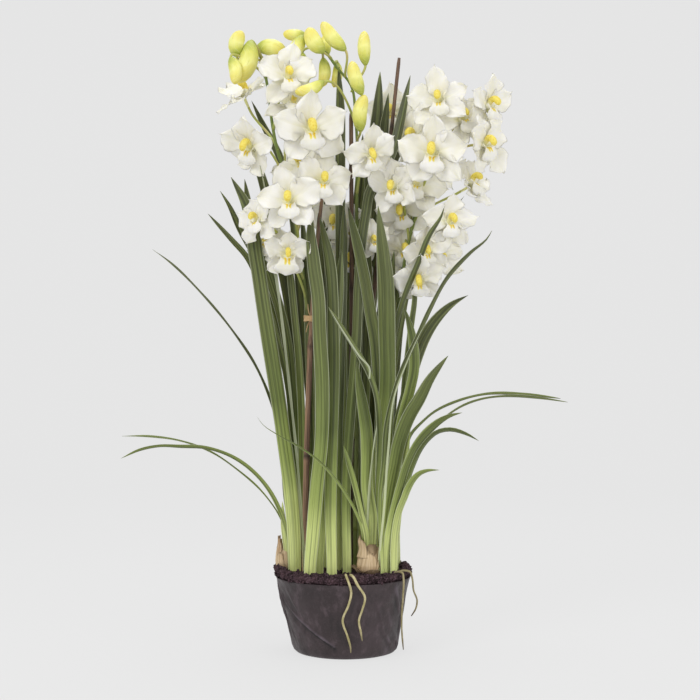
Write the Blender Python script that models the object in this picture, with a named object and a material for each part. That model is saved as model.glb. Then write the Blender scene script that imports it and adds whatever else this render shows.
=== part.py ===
"""A potted cymbidium orchid: pot, compost, pseudobulbs, strap leaves, caned flower spikes and roots.

Run with: blender --background --python part.py

Frame: +Z up, origin at the centre of the pot's flat base, -Y towards the front. The tables below are
in millimetres, and everything is scaled to metres as it is made. Every planted piece stands in a
socket of its own in the compost or in the pseudobulb that carries it.
"""

import math

import bmesh
import bpy
from mathutils import Matrix, Vector

MM = 0.001
CLEARANCE = 0.4  # between a planted piece and its socket
SEAT = 0.35  # between two pieces that rest on each other

# Pot: a thin tapered fibre pot with a rounded foot.
POT_HEIGHT = 120
POT_RIM_RADIUS = 107
POT_FOOT_RADIUS = 86
POT_BASE_RADIUS = 74
POT_FOOT_HEIGHT = 14
POT_WALL = 1.8
POT_SEGMENTS = 40

# Compost: fills the pot, heaped a little over its rim.
SOIL_TOP = 130
SOIL_LIP_RADIUS = 111
SOIL_LIP_TOP = 132

# Planting.
ROOTED = 24  # how deep a leaf, stem or cane goes into what carries it
STRAIGHT = 4  # how far it then rises straight up
BLADE_PIECES = 11  # stations along a leaf above the compost
BLADE_THICKNESS = 1.6  # at the midrib
TIE_BORE = 4.1  # the tie's inner radius round the cane and round the stem
TIE_RADIUS = 5.8
TIP_WIDTHS = 5  # a blade narrows to its point over this many of its widths
BLADE_FOLD = 0.22  # how far the edges stand proud of the midrib, as a share of the half width

PLANT_GREEN = (0.10, 0.17, 0.04)
STEM_GREEN = (0.24, 0.36, 0.08)
PETAL_WHITE = (0.92, 0.90, 0.84)
CANE_BROWN = (0.23, 0.13, 0.07)
SHEATH_TAN = (0.62, 0.46, 0.27)
ROOT_TAN = (0.55, 0.50, 0.28)
RAFFIA_TAN = (0.66, 0.42, 0.20)
SOIL_BROWN = (0.07, 0.045, 0.045)
POT_BROWN = (0.085, 0.065, 0.070)

# Pseudobulbs: centre x, y; radius; height above the compost.
BULBS = {
    "bulb_front": (38, -50, 20, 46),
    "bulb_left": (-95, -4, 15, 42),
    "bulb_right": (73, -38, 7, 46),
}

# Leaves: full width, angle of the width from +X at the base, twist to the tip, and the route.
LEAVES = {
    "leaf_left_1": (24, 0, 6, [(-80, -28), (-85, -30, 240), (-99, -34, 352), (-113, -38, 448),
        (-128, -40, 544), (-140, -42, 624), (-156, -42, 708), (-180, -40, 752)]),
    "leaf_left_2": (17, 10, 0, [(-60, 8), (-80, 10, 240), (-86, 12, 400), (-98, 14, 512),
        (-124, 16, 602), (-142, 18, 652), (-154, 20, 698), (-163, 22, 756)]),
    "leaf_left_3": (20, 20, -10, [(-58, 30), (-73, 32, 272), (-77, 34, 400), (-93, 36, 560),
        (-106, 37, 624), (-122, 38, 702), (-136, 38, 756), (-161, 36, 828)]),
    "leaf_left_4": (14, 24, 0, [(-38, 46), (-60, 50, 400), (-75, 52, 562), (-91, 54, 724),
        (-107, 54, 792), (-136, 54, 850), (-154, 54, 888)]),
    "leaf_left_5": (8, 62, 0, [(-84, 20), (-100, 20, 250), (-108, 18, 350), (-121, 18, 398),
        (-146, 16, 456), (-180, 14, 508), (-229, 10, 568), (-286, 6, 624), (-309, 4, 641)]),
    "leaf_left_6": (7, 10, 60, [(-88, -21), (-99, -23, 212), (-131, -30, 272), (-174, -36, 309),
        (-221, -40, 326), (-260, -42, 328), (-292, -44, 329), (-323, -46, 323), (-352, -48, 310)]),
    "leaf_left_7": (12, 30, 0, [(-70, 50), (-92, 56, 400), (-126, 60, 562), (-146, 62, 624),
        (-176, 62, 683), (-192, 62, 718), (-206, 62, 741)]),
    "leaf_front_1": (22, 0, 6, [(-55, -74), (-51, -80, 186), (-44, -84, 269), (-37, -86, 341),
        (-36, -86, 431), (-40, -84, 509), (-42, -80, 557), (-50, -76, 619), (-54, -72, 675),
        (-51, -68, 702)]),
    "leaf_front_2": (19, 0, 4, [(-21, -77), (-23, -74, 245), (-22, -72, 303), (-19, -68, 402),
        (-19, -64, 509), (-25, -60, 620), (-40, -56, 688)]),
    "leaf_front_3": (16, -10, 0, [(2, -52), (1, -50, 262), (8, -44, 384), (17, -38, 494),
        (21, -32, 592), (26, -28, 656), (32, -14, 696), (40, -2, 736), (53, 4, 760), (68, 10, 784),
        (78, 15, 808), (87, 20, 843), (95, 24, 880), (105, 28, 925)]),
    "leaf_front_4": (5, 36, 0, [(28, -52, 172), (28, -56, 184), (26, -66, 203), (17, -84, 229),
        (2, -98, 258), (-16, -106, 284), (-44, -110, 314), (-70, -108, 332), (-103, -104, 350),
        (-128, -98, 367), (-136, -96, 378)]),
    "leaf_front_5": (20, 4, 0, [(40, -54, 172), (41, -59, 215), (34, -69, 266), (34, -74, 319),
        (33, -76, 350), (26, -78, 399), (21, -78, 430), (18, -78, 462)]),
    "leaf_front_6": (11, 42, 0, [(46, -44, 172), (51, -47, 215), (51, -58, 262), (53, -70, 315),
        (53, -82, 363), (51, -90, 392), (48, -92, 412), (39, -96, 440), (14, -100, 486),
        (-9, -102, 522), (-26, -102, 546)]),
    "leaf_centre_1": (16, 0, 0, [(-4, 2), (-5, 2, 400), (-8, 0, 600), (-8, -2, 790), (-8, -3, 860),
        (-11, -4, 936)]),
    "leaf_centre_2": (20, -12, 4, [(44, -8), (52, -20, 280), (56, -30, 397), (52, -34, 445),
        (48, -36, 494), (39, -38, 543), (31, -38, 592), (14, -38, 667), (4, -38, 706)]),
    "leaf_centre_3": (27, 4, 0, [(62, -24), (60, -36, 220), (62, -46, 363), (66, -50, 430),
        (65, -52, 509), (63, -54, 590), (57, -54, 655), (51, -52, 706)]),
    "leaf_centre_4": (23, -8, 0, [(11, 47), (9, 52, 398), (12, 56, 562), (20, 60, 665), (34, 66, 759),
        (43, 68, 792), (51, 72, 851), (55, 76, 904), (57, 78, 940)]),
    "leaf_centre_5": (21, -8, 0, [(28, 62), (31, 74, 397), (36, 84, 563), (42, 90, 647), (52, 96, 730),
        (74, 100, 788), (107, 104, 852), (123, 106, 875), (136, 108, 911), (144, 110, 938)]),
    "leaf_right_1": (9, 40, 0, [(58, -70), (54, -80, 255), (59, -86, 305), (62, -90, 354),
        (71, -92, 399), (93, -92, 462), (108, -92, 493), (130, -92, 541), (160, -90, 594),
        (194, -88, 630), (220, -86, 653), (226, -86, 664)]),
    "leaf_right_2": (11, 30, 0, [(74, -4), (72, -12, 400), (76, -24, 494), (89, -40, 551),
        (98, -50, 576), (114, -62, 615), (131, -76, 658), (149, -86, 688), (153, -88, 702)]),
    "leaf_right_3": (21, 20, 0, [(80, 14), (79, 12, 288), (85, 10, 352), (98, 8, 404), (117, 8, 474),
        (128, 8, 500), (143, 8, 524), (173, 8, 554), (197, 8, 568)]),
    "leaf_right_4": (22, 14, 0, [(66, -55), (63, -58, 200), (68, -60, 251), (76, -62, 293),
        (85, -64, 338), (101, -64, 379), (116, -64, 404), (132, -64, 434), (148, -64, 456),
        (160, -64, 471)]),
    "leaf_right_5": (13, 44, 0, [(80, -42), (83, -42, 219), (92, -42, 250), (108, -41, 300),
        (118, -40, 322), (132, -40, 340), (145, -40, 350), (163, -40, 354), (189, -40, 348),
        (210, -40, 337)]),
    "leaf_right_6": (8, 56, 0, [(80, 30), (84, 30, 248), (95, 30, 284), (112, 28, 316), (137, 26, 347),
        (157, 26, 367), (198, 22, 393), (224, 20, 401), (272, 18, 405), (314, 16, 402),
        (358, 16, 396)]),
    "leaf_back_1": (19, 184, 0, [(-2, 76), (-6, 100, 400), (-16, 128, 640), (-30, 150, 800)]),
    "leaf_back_2": (14, 150, 0, [(62, 72), (72, 92, 280), (86, 126, 450), (98, 160, 560),
        (108, 186, 620)]),
}

# Canes: radius at the foot and at the top, and the route.
CANES = {
    "cane_left": (3.8, 2.8, [(-64, -24), (-58, -24, 420), (-52, -22, 560), (-27, -14, 822)]),
    "cane_centre": (4.2, 3.4, [(8, 20), (10, 14, 500), (9, 10, 860)]),
    "cane_right": (3.6, 3.0, [(-8, 40), (38, 38, 500), (87, 34, 954)]),
}

# Flower spikes: radius at the foot and at the top, and the stem's route.
SPIKES = {
    "spike_left": (4.2, 2.2, [(-61, -5), (-59, -8, 420), (-60, -11, 540), (-74, -8, 640),
        (-89, -4, 744), (-108, -1, 796), (-117, 1, 840), (-123, 2, 890), (-134, 4, 950)]),
    "spike_centre": (4.2, 1.8, [(16, 12), (19, 10, 400), (18, 8, 700), (16, 4, 850), (8, -6, 904),
        (-14, -12, 930), (-38, -16, 958), (-60, -18, 964)]),
    "spike_right": (4.2, 2.2, [(54, 24), (66, 20, 360), (84, 14, 540), (104, 8, 665), (121, 6, 722),
        (142, 6, 770), (160, 10, 840), (178, 12, 880)]),
}

# Buds: spike, height share on its stem where the stalk leaves, bud's foot, bud's tip, greatest radius.
BUDS = [
    ("spike_left", 0.99, (-173, -14, 946), (-164, -22, 986), 12),
    ("spike_left", 0.96, (-181, -34, 942), (-174, -40, 898), 10),
    ("spike_left", 0.995, (-151, -12, 972), (-171, -22, 904), 15),
    ("spike_left", 0.985, (-143, 12, 966), (-95, 8, 956), 13),
    ("spike_centre", 0.995, (-64, 4, 986), (-100, 4, 987), 9),
    ("spike_centre", 0.99, (-68, -24, 978), (-93, -28, 943), 11),
    ("spike_centre", 0.975, (-70, 17, 960), (-82, 21, 930), 9),
    ("spike_centre", 0.95, (-34, -32, 950), (-58, -38, 988), 12.5),
    ("spike_centre", 0.93, (-28, 6, 954), (-31, 10, 988), 8),
    ("spike_centre", 0.91, (0, -28, 954), (-37, -32, 998), 11),
    ("spike_centre", 0.97, (-36, 3, 948), (-38, 6, 902), 9.5),
    ("spike_centre", 0.82, (-34, -54, 900), (-78, -72, 880), 9.5),
    ("spike_centre", 0.94, (-13, 8, 942), (-19, 11, 902), 8),
    ("spike_centre", 0.88, (32, -8, 934), (30, -12, 988), 10),
    ("spike_centre", 0.84, (26, -28, 884), (10, -32, 936), 11),
    ("spike_centre", 0.79, (24, -24, 826), (31, -26, 884), 11.5),
]

# Flowers: spike, height share where the stalk leaves, heart, azimuth (0 faces the front, positive turns to
# +X), elevation, roll, and length of a tepal.
FLOWERS = {
    "flower_left_1": ("spike_left", 0.86, (-90, -48, 906), 14, 6, 8, 46),
    "flower_left_2": ("spike_left", 0.82, (-165, 38, 892), -46, 60, 10, 46),
    "flower_left_3": ("spike_left", 0.72, (-148, -52, 798), -32, -20, -10, 48),
    "flower_left_4": ("spike_left", 0.74, (-54, -80, 822), 12, -16, 6, 56),
    "flower_left_5": ("spike_left", 0.6, (-86, -98, 708), -4, -4, 4, 48),
    "flower_left_6": ("spike_left", 0.66, (-36, -58, 742), 10, -2, -8, 47),
    "flower_left_7": ("spike_left", 0.57, (-136, -66, 680), -34, 8, 14, 38),
    "flower_left_8": ("spike_left", 0.53, (-91, -62, 631), 8, -22, -4, 45),
    "flower_left_9": ("spike_left", 0.76, (-76, 56, 796), 172, -6, 0, 46),
    "flower_centre_1": ("spike_centre", 0.7, (40, -66, 784), 14, -24, 14, 42),
    "flower_centre_2": ("spike_centre", 0.56, (43, -6, 652), 18, 4, 8, 40),
    "flower_right_1": ("spike_right", 0.9, (148, -36, 872), -12, 2, 6, 50),
    "flower_right_2": ("spike_right", 0.96, (226, 0, 868), 50, 6, -6, 46),
    "flower_right_3": ("spike_right", 0.78, (136, -68, 786), -10, -10, 0, 54),
    "flower_right_4": ("spike_right", 0.7, (76, -34, 736), -16, -14, 8, 45),
    "flower_right_5": ("spike_right", 0.66, (162, -44, 680), 24, -2, 0, 43),
    "flower_right_6": ("spike_right", 0.6, (128, -40, 634), 6, -10, 8, 43),
    "flower_right_7": ("spike_right", 0.86, (219, -30, 804), 40, -6, 10, 46),
}
OVARY_LENGTH = 20
OVARY_RADIUS = 2.4
DORSAL_SHARE = 1.14  # the top sepal is the longest, and shows which way up a flower is
PETAL_THICKNESS = 1.4
STALK_RADIUS = 1.9
STALK_PIECES = 8
STALK_GAP = 0.65  # between a flower's stalk and its ovary

# Free roots: radius and route. They start beside a pseudobulb and hang over the rim.
FREE_ROOTS = {
    "root_front_left": (1.9, [(1, -84, 132.4), (1, -104, 134.8), (2, -111.4, 133.2), (5, -113.8, 126),
        (9, -110.5, 110), (5, -106.5, 90), (-4, -102.4, 66), (3.5, -97.4, 40), (8, -93.6, 22),
        (8.5, -92, 14)]),
    "root_front_right": (1.9, [(7, -86, 132.4), (9.5, -104, 134.8), (12.5, -111, 133.2), (18.5, -113, 122),
        (30, -108.5, 102), (26, -103.5, 82), (21, -101, 66), (24, -97.5, 46), (26, -95, 33)]),
    "root_side_inner": (1.6, [(74, -62, 133), (84, -64, 134.4), (89.5, -69.2, 132.4), (90.2, -70, 127),
        (89.5, -70, 96), (88, -64, 70), (88, -59.6, 44), (90.5, -58, 12)]),
    "root_side_outer": (1.6, [(80, -54, 133), (94, -50, 134.4), (101.5, -47, 131.8), (104.4, -46, 124),
        (107, -44, 103), (113, -36, 84), (111, -33, 72), (104, -32, 60)]),
}


def clear_scene():
    for item in list(bpy.data.objects):
        bpy.data.objects.remove(item)


def material(name, colour, roughness=0.6):
    made = bpy.data.materials.new(name)
    made.use_nodes = True
    shader = made.node_tree.nodes["Principled BSDF"]
    shader.inputs["Base Color"].default_value = (*colour, 1)
    shader.inputs["Roughness"].default_value = roughness
    shader.inputs["Metallic"].default_value = 0
    return made


def solid(name, points, faces, look):
    """An object from points in millimetres, with its faces turned outwards."""
    mesh = bpy.data.meshes.new(name)
    mesh.from_pydata([Vector(p) * MM for p in points], [], faces)
    shell = bmesh.new()
    shell.from_mesh(mesh)
    bmesh.ops.recalc_face_normals(shell, faces=shell.faces)
    shell.to_mesh(mesh)
    shell.free()
    mesh.materials.append(look)
    mesh.shade_smooth()
    mesh.set_sharp_from_angle(angle=math.radians(50))
    made = bpy.data.objects.new(name, mesh)
    bpy.context.scene.collection.objects.link(made)
    return made


def helper(made):
    """Marks a cutter or a shape that is joined into another, so that it isn't a piece of its own."""
    made.hide_render = True
    made.display_type = "WIRE"
    return made


def boolean(body, tools, operation):
    group = bpy.data.collections.new(body.name + "_" + operation.lower())
    bpy.context.scene.collection.children.link(group)
    for tool in tools:
        bpy.context.scene.collection.objects.unlink(tool)
        group.objects.link(helper(tool))
    modifier = body.modifiers.new(operation, "BOOLEAN")
    modifier.operation = operation
    modifier.operand_type = "COLLECTION"
    modifier.collection = group
    modifier.solver = "EXACT"


def smooth_path(points, count):
    """count + 1 points, evenly spaced along a smooth curve through the given ones."""
    given = [Vector(p) for p in points]
    knots = [0.0]
    for a, b in zip(given, given[1:]):
        knots.append(knots[-1] + (b - a).length)
    slopes = [(b - a) / (v - u) for a, b, u, v in zip(given, given[1:], knots, knots[1:])]
    tangents = [slopes[0]]
    for i in range(1, len(given) - 1):
        before, after = knots[i] - knots[i - 1], knots[i + 1] - knots[i]
        tangents.append((slopes[i - 1] * after + slopes[i] * before) / (before + after))
    tangents.append(slopes[-1])
    path = []
    for step in range(count + 1):
        at = knots[-1] * step / count
        i = min(sum(at >= k for k in knots) - 1, len(given) - 2)
        span = knots[i + 1] - knots[i]
        t = (at - knots[i]) / span
        path.append(
            given[i] * (2 * t**3 - 3 * t**2 + 1)
            + tangents[i] * span * (t**3 - 2 * t**2 + t)
            + given[i + 1] * (3 * t**2 - 2 * t**3)
            + tangents[i + 1] * span * (t**3 - t**2)
        )
    return path


def frames(path, across):
    """(along, across, out) at each point, with across turning as little as it can."""
    found = []
    for i in range(len(path)):
        along = (path[min(i + 1, len(path) - 1)] - path[max(i - 1, 0)]).normalized()
        across = (across - along * across.dot(along)).normalized()
        found.append((along, across.copy(), across.cross(along)))
    return found


def tube(name, path, radii, sides, look):
    """A closed round rod along path, with a radius for each of its points."""
    start = Vector((0, 1, 0)) if abs((path[1] - path[0]).normalized().y) < 0.9 else Vector((1, 0, 0))
    points, faces = [], []
    for centre, radius, (_, across, out) in zip(path, radii, frames(path, start)):
        for k in range(sides):
            turn = 2 * math.pi * k / sides
            points.append(centre + (across * math.cos(turn) - out * math.sin(turn)) * radius)
    for i in range(len(path) - 1):
        for k in range(sides):
            a, b = i * sides + k, i * sides + (k + 1) % sides
            faces.append((a, b, b + sides, a + sides))
    faces.append(tuple(reversed(range(sides))))
    faces.append(tuple(range(len(points) - sides, len(points))))
    return solid(name, points, faces, look)


def turned(name, profile, segments, look):
    """A solid turned round Z from (radius, height) points, from the axis up its outer side and back."""
    points, faces = [], []
    rings = [p for p in profile if p[0] > 0]
    for radius, height in rings:
        for k in range(segments):
            turn = 2 * math.pi * k / segments
            points.append((radius * math.cos(turn), radius * math.sin(turn), height))
    for i in range(len(rings) - 1):
        for k in range(segments):
            a, b = i * segments + k, i * segments + (k + 1) % segments
            faces.append((a, b, b + segments, a + segments))
    faces.append(tuple(reversed(range(segments))))
    faces.append(tuple(range(len(points) - segments, len(points))))
    return solid(name, points, faces, look)


def foot_of(points, top):
    """A route's first point at its full three numbers; one with two numbers stands on the compost."""
    first = points[0]
    return Vector(first) if len(first) == 3 else Vector((*first, top))


def planted_route(points):
    """The whole route: down into what carries it, straight up out of it, then through the given points."""
    foot = foot_of(points, SOIL_TOP)
    return foot - Vector((0, 0, ROOTED)), foot + Vector((0, 0, STRAIGHT)), [Vector(p) for p in points[1:]]


def taper_start(width, path):
    """The share of its length where a blade starts to narrow: a few widths before its tip."""
    length = sum((b - a).length for a, b in zip(path, path[1:]))
    return min(max(1 - TIP_WIDTHS * width / length, 0.62), 0.88)


def blade_width(share, narrow_from=1.0):
    """A strap leaf's width at a share of its length, against its full width."""
    rising = 0.86 + 0.14 * math.sin(min(share / 0.4, 1) * math.pi / 2)
    if share <= narrow_from:
        return rising
    return rising * math.cos((share - narrow_from) / (1 - narrow_from) * math.pi / 2) ** 0.8


def blade_ring(centre, across, out, half, rise, thickness):
    """Left edge, keel, right edge and midrib of a leaf's folded section."""
    return [
        centre - across * half + out * rise,
        centre - out * thickness / 2,
        centre + across * half + out * rise,
        centre + out * thickness / 2,
    ]


def blade(name, width, angle, twist, points, look):
    """A strap leaf as a closed folded strip that ends in a point."""
    low, high, rest = planted_route(points)
    path = smooth_path([high, *rest], BLADE_PIECES)
    start = Vector((math.cos(math.radians(angle)), math.sin(math.radians(angle)), 0))
    inward = -1 if start.cross(Vector((0, 0, 1))).dot(Vector((high.x, high.y, 0))) > 0 else 1
    foot_half = width * blade_width(0) / 2
    narrow_from = taper_start(width, path)
    up = start.cross(Vector((0, 0, 1)))
    corners = blade_ring(low, start, up, foot_half, 0, BLADE_THICKNESS)
    corners += blade_ring(high, start, up, foot_half, 0, BLADE_THICKNESS)
    for i, (along, across, out) in list(enumerate(frames(path, start)))[1:-1]:
        share = i / BLADE_PIECES
        turn = Matrix.Rotation(math.radians(twist * share), 3, along)
        half = width * blade_width(share, narrow_from) / 2
        thickness = BLADE_THICKNESS * (1 - 0.5 * share)
        rise = inward * BLADE_FOLD * half
        corners += blade_ring(path[i], turn @ across, turn @ out, half, rise, thickness)
    corners.append(path[-1])
    faces = [(3, 1, 0), (3, 2, 1)]
    rings = len(corners) // 4
    for i in range(rings - 1):
        for k in range(4):
            a, b = i * 4 + k, i * 4 + (k + 1) % 4
            # The front and the back of a half are split along the same line, so they never cross.
            if k % 2:
                faces += [(a, b, a + 4), (b, b + 4, a + 4)]
            else:
                faces += [(a, b, b + 4), (a, b + 4, a + 4)]
    for k in range(4):
        faces.append(((rings - 1) * 4 + k, (rings - 1) * 4 + (k + 1) % 4, len(corners) - 1))
    return solid(name, corners, faces, look)


def blade_socket(name, width, angle, points, look):
    """What the foot of a leaf takes out of its bed."""
    low, high, _ = planted_route(points)
    start = Vector((math.cos(math.radians(angle)), math.sin(math.radians(angle)), 0))
    out = start.cross(Vector((0, 0, 1)))
    half = width * blade_width(0) / 2 + CLEARANCE
    thickness = BLADE_THICKNESS + 2 * CLEARANCE
    low = low - Vector((0, 0, CLEARANCE))
    high = high + Vector((0, 0, 30))
    corners = blade_ring(low, start, out, half, 0, thickness)
    corners += blade_ring(high, start, out, half, 0, thickness)
    faces = [(3, 2, 1, 0), (4, 5, 6, 7)] + [(k, (k + 1) % 4, (k + 1) % 4 + 4, k + 4) for k in range(4)]
    return solid(name + "_socket", corners, faces, look)


def rod_route(points, count):
    low, high, rest = planted_route(points)
    return [low, *smooth_path([high, *rest], count)]


def taper(first, last, count):
    return [first + (last - first) * i / (count - 1) for i in range(count)]


def rod_socket(name, radius, points, look):
    low, high, _ = planted_route(points)
    ends = [low - Vector((0, 0, CLEARANCE)), high + Vector((0, 0, 30))]
    return tube(name + "_socket", ends, [radius + 2 * CLEARANCE] * 2, 8, look)


def facing(azimuth, elevation):
    """The unit vector that a flower looks along."""
    a, e = math.radians(azimuth), math.radians(elevation)
    return Vector((math.sin(a) * math.cos(e), -math.cos(a) * math.cos(e), math.sin(e)))


def flower_axes(azimuth, elevation, roll):
    """Columns: a flower's own right, up and forward."""
    forward = facing(azimuth, elevation)
    right = Vector((0, 0, 1)).cross(forward).normalized()
    up = forward.cross(right)
    turn = Matrix.Rotation(math.radians(roll), 3, forward)
    return Matrix((turn @ right, turn @ up, forward)).transposed()


def flower(name, heart, azimuth, elevation, roll, reach, look):
    """Five tepals as one star, with the lip and column as a ridge in front and the ovary behind."""
    outline = []
    for tepal in range(5):
        middle = 90 + 72 * tepal
        length = reach * (DORSAL_SHARE if tepal == 0 else 1)
        for offset, share in ((-36, 0.42), (-21, 0.80), (0, 1), (21, 0.80)):
            far = length * share if share > 0.5 else reach * share
            outline.append((math.radians(middle + offset), far))
    hub = [(math.radians(54 + 72 * k), 0.2 * reach) for k in range(5)]
    points = []

    def ring(polar, height, slope):
        first = len(points)
        points.extend(
            Vector((r * math.cos(t), r * math.sin(t), height + slope * r)) for t, r in polar
        )
        return list(range(first, len(points)))

    front, back = ring(outline, PETAL_THICKNESS / 2, 0.06), ring(outline, -PETAL_THICKNESS / 2, 0.06)
    front_hub, back_hub = ring(hub, 2.0, 0), ring(hub, -2.0, 0)
    neck = ring([(t, OVARY_RADIUS) for t, _ in hub], -5, 0)
    end = ring([(t, OVARY_RADIUS * 0.8) for t, _ in hub], -OVARY_LENGTH, 0)
    column = len(points)
    points.append(Vector((0, 0.08 * reach, 0.26 * reach)))
    lip = len(points)
    points.append(Vector((0, -0.34 * reach, 0.42 * reach)))
    faces = []
    for k in range(5):
        after = (k + 1) % 5
        inner, last = front_hub[k], front_hub[after]
        arc = [(4 * k + i) % 20 for i in range(5)]
        for i, j in zip(arc, arc[1:]):
            anchor = inner if arc.index(i) < 2 else last
            faces.append((anchor, front[i], front[j]))
            other = back_hub[k] if arc.index(i) < 2 else back_hub[after]
            faces.append((other, back[j], back[i]))
            faces.append((back[i], back[j], front[j], front[i]))
        faces.append((inner, front[arc[2]], last))
        faces.append((back_hub[k], back_hub[after], back[arc[2]]))
        faces.append((back_hub[after], back_hub[k], neck[k], neck[after]))
        faces.append((neck[after], neck[k], end[k], end[after]))
    faces.append(tuple(reversed(end)))
    # The hub's corners stand at 54, 126, 198, 270 and 342 degrees; the lip hangs over the one at 270.
    top_right, top_left, left, bottom, right = front_hub
    faces += [
        (top_right, top_left, column),
        (top_left, left, column),
        (left, lip, column),
        (left, bottom, lip),
        (bottom, right, lip),
        (right, column, lip),
        (right, top_right, column),
    ]
    axes = flower_axes(azimuth, elevation, roll)
    return solid(name, [axes @ p + Vector(heart) for p in points], faces, look)


def stalk(name, stem, share, end, look, direction):
    """A stalk: it rises out of the stem and bows over, to meet its end along direction."""
    start = part_way(stem, share)
    span = (end - start).length
    leave = (end - start) * 0.6 + Vector((0, 0, 0.5 * span))
    arrive = direction * 0.9 * span
    path = []
    for i in range(STALK_PIECES + 1):
        t = i / STALK_PIECES
        path.append(
            start * (2 * t**3 - 3 * t**2 + 1)
            + leave * (t**3 - 2 * t**2 + t)
            + end * (3 * t**2 - 2 * t**3)
            + arrive * (t**3 - t**2)
        )
    return tube(name, path, [STALK_RADIUS] * len(path), 6, look)


def bud(name, foot, tip, radius, look):
    """A plump bud, a little bent, from its foot to its pointed tip."""
    foot, tip = Vector(foot), Vector(tip)
    bend = (tip - foot).cross(Vector((0, 1, 0))).normalized() * radius * 0.35
    path = smooth_path([foot, foot.lerp(tip, 0.5) + bend, tip], 6)
    swell = [0.24, 0.72, 0.98, 1.0, 0.84, 0.5, 0.12]
    return tube(name, path, [radius * s for s in swell], 7, look)


def spike(name, look):
    """A flower spike: its stem, the stalks of its flowers, and its buds, grown as one piece."""
    foot_radius, top_radius, points = SPIKES[name]
    stem = rod_route(points, 22)
    body = tube(name, stem, taper(foot_radius, top_radius, len(stem)), 8, look)
    grown = []
    for other, (owner, share, heart, azimuth, elevation, _, _) in FLOWERS.items():
        if owner == name:
            direction = facing(azimuth, elevation)
            end = Vector(heart) - direction * (OVARY_LENGTH + STALK_GAP)
            grown.append(stalk(other + "_stalk", stem, share, end, look, direction))
    for i, (owner, share, foot, tip, radius) in enumerate(BUDS):
        if owner == name:
            direction = (Vector(tip) - Vector(foot)).normalized()
            end = Vector(foot) + direction * 2
            grown.append(stalk(f"bud_stalk_{i}", stem, share, end, look, direction))
            grown.append(bud(f"bud_{i}", foot, tip, radius, look))
    boolean(body, grown, "UNION")
    return body


def pot(look):
    inner_rim = POT_RIM_RADIUS - POT_WALL
    inner_foot = POT_FOOT_RADIUS - POT_WALL
    corner = (POT_FOOT_RADIUS + POT_BASE_RADIUS) / 2 + 2
    return turned(
        "pot",
        [
            (POT_BASE_RADIUS, 0),
            (corner, POT_FOOT_HEIGHT * 0.28),
            (POT_FOOT_RADIUS, POT_FOOT_HEIGHT),
            (POT_RIM_RADIUS, POT_HEIGHT),
            (inner_rim, POT_HEIGHT),
            (inner_foot, POT_FOOT_HEIGHT),
            (POT_BASE_RADIUS - POT_WALL, POT_WALL),
        ],
        POT_SEGMENTS,
        look,
    )


def soil(look, sockets):
    inner_rim = POT_RIM_RADIUS - POT_WALL - SEAT
    inner_foot = POT_FOOT_RADIUS - POT_WALL - SEAT
    body = turned(
        "compost",
        [
            (POT_BASE_RADIUS - POT_WALL - SEAT, POT_WALL + SEAT),
            (inner_foot, POT_FOOT_HEIGHT),
            (inner_rim, POT_HEIGHT + SEAT),
            (SOIL_LIP_RADIUS, POT_HEIGHT + SEAT),
            (SOIL_LIP_RADIUS, SOIL_LIP_TOP - 3),
            (SOIL_LIP_RADIUS - 6, SOIL_LIP_TOP),
            (SOIL_LIP_RADIUS - 20, SOIL_TOP),
        ],
        POT_SEGMENTS,
        look,
    )
    boolean(body, sockets, "DIFFERENCE")
    return body


def bulb_profile(radius, height, grow):
    """(height, radius) stations of a pseudobulb, from its foot in the compost to its neck."""
    stations = ((-12, 0.55), (0, 0.86), (height * 0.3, 1.0), (height * 0.6, 0.86))
    stations += ((height * 0.85, 0.68), (height, 0.56))
    return [(SOIL_TOP + z, radius * share + grow) for z, share in stations]


def bulb(name, look, sockets):
    x, y, radius, height = BULBS[name]
    stations = bulb_profile(radius, height, 0)
    body = tube(name, [Vector((x, y, z)) for z, _ in stations], [r for _, r in stations], 12, look)
    if sockets:
        boolean(body, sockets, "DIFFERENCE")
    return body


def bulb_socket(name, look):
    x, y, radius, height = BULBS[name]
    stations = bulb_profile(radius, height, 1.2 * CLEARANCE)
    stations = [(SOIL_TOP - 12 - CLEARANCE, stations[0][1]), *stations[1:]]
    path = [Vector((x, y, z)) for z, _ in stations]
    return tube(name + "_socket", path, [r for _, r in stations], 12, look)


def tie(look):
    """A band of raffia round the left cane and its stem, with two loose ends."""
    height = 530
    cane = at_height(rod_route(CANES["cane_left"][2], 12), height)
    stem = at_height(rod_route(SPIKES["spike_left"][2], 22), height)
    apart = cane - stem
    half, side = apart.length / 2, apart.normalized()
    turn = side.cross(Vector((0, 0, 1)))
    middle = (cane + stem) / 2
    inner, outer = TIE_BORE, TIE_RADIUS
    rings = []
    for radius, z in ((inner, -5), (outer, -5), (outer, 5), (inner, 5)):
        ring = []
        for k in range(16):
            angle = 2 * math.pi * k / 16 + math.pi / 16
            centre = middle + side * (half if math.cos(angle) > 0 else -half)
            out = (side * math.cos(angle) + turn * math.sin(angle)) * radius
            ring.append(centre + out + Vector((0, 0, z)))
        rings.append(ring)
    points = [p for ring in rings for p in ring]
    faces = []
    for i in range(4):
        for k in range(16):
            a, b = i * 16 + k, i * 16 + (k + 1) % 16
            c, d = (i + 1) % 4 * 16 + (k + 1) % 16, (i + 1) % 4 * 16 + k
            faces.append((d, c, b, a))
    body = solid("raffia_tie", points, faces, look)
    knot = middle - side * (half + outer - 0.6)
    ends = []
    for i, reach in enumerate((Vector((-3, -2, 22)), Vector((-6, -3, -24)))):
        path = smooth_path([knot, knot + reach * 0.5 + Vector((-2, 0, 0)), knot + reach], 4)
        ends.append(tube(f"raffia_end_{i}", path, [1.2, 1.2, 1.0, 0.9, 0.5], 5, look))
    boolean(body, ends, "UNION")
    return body


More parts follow.
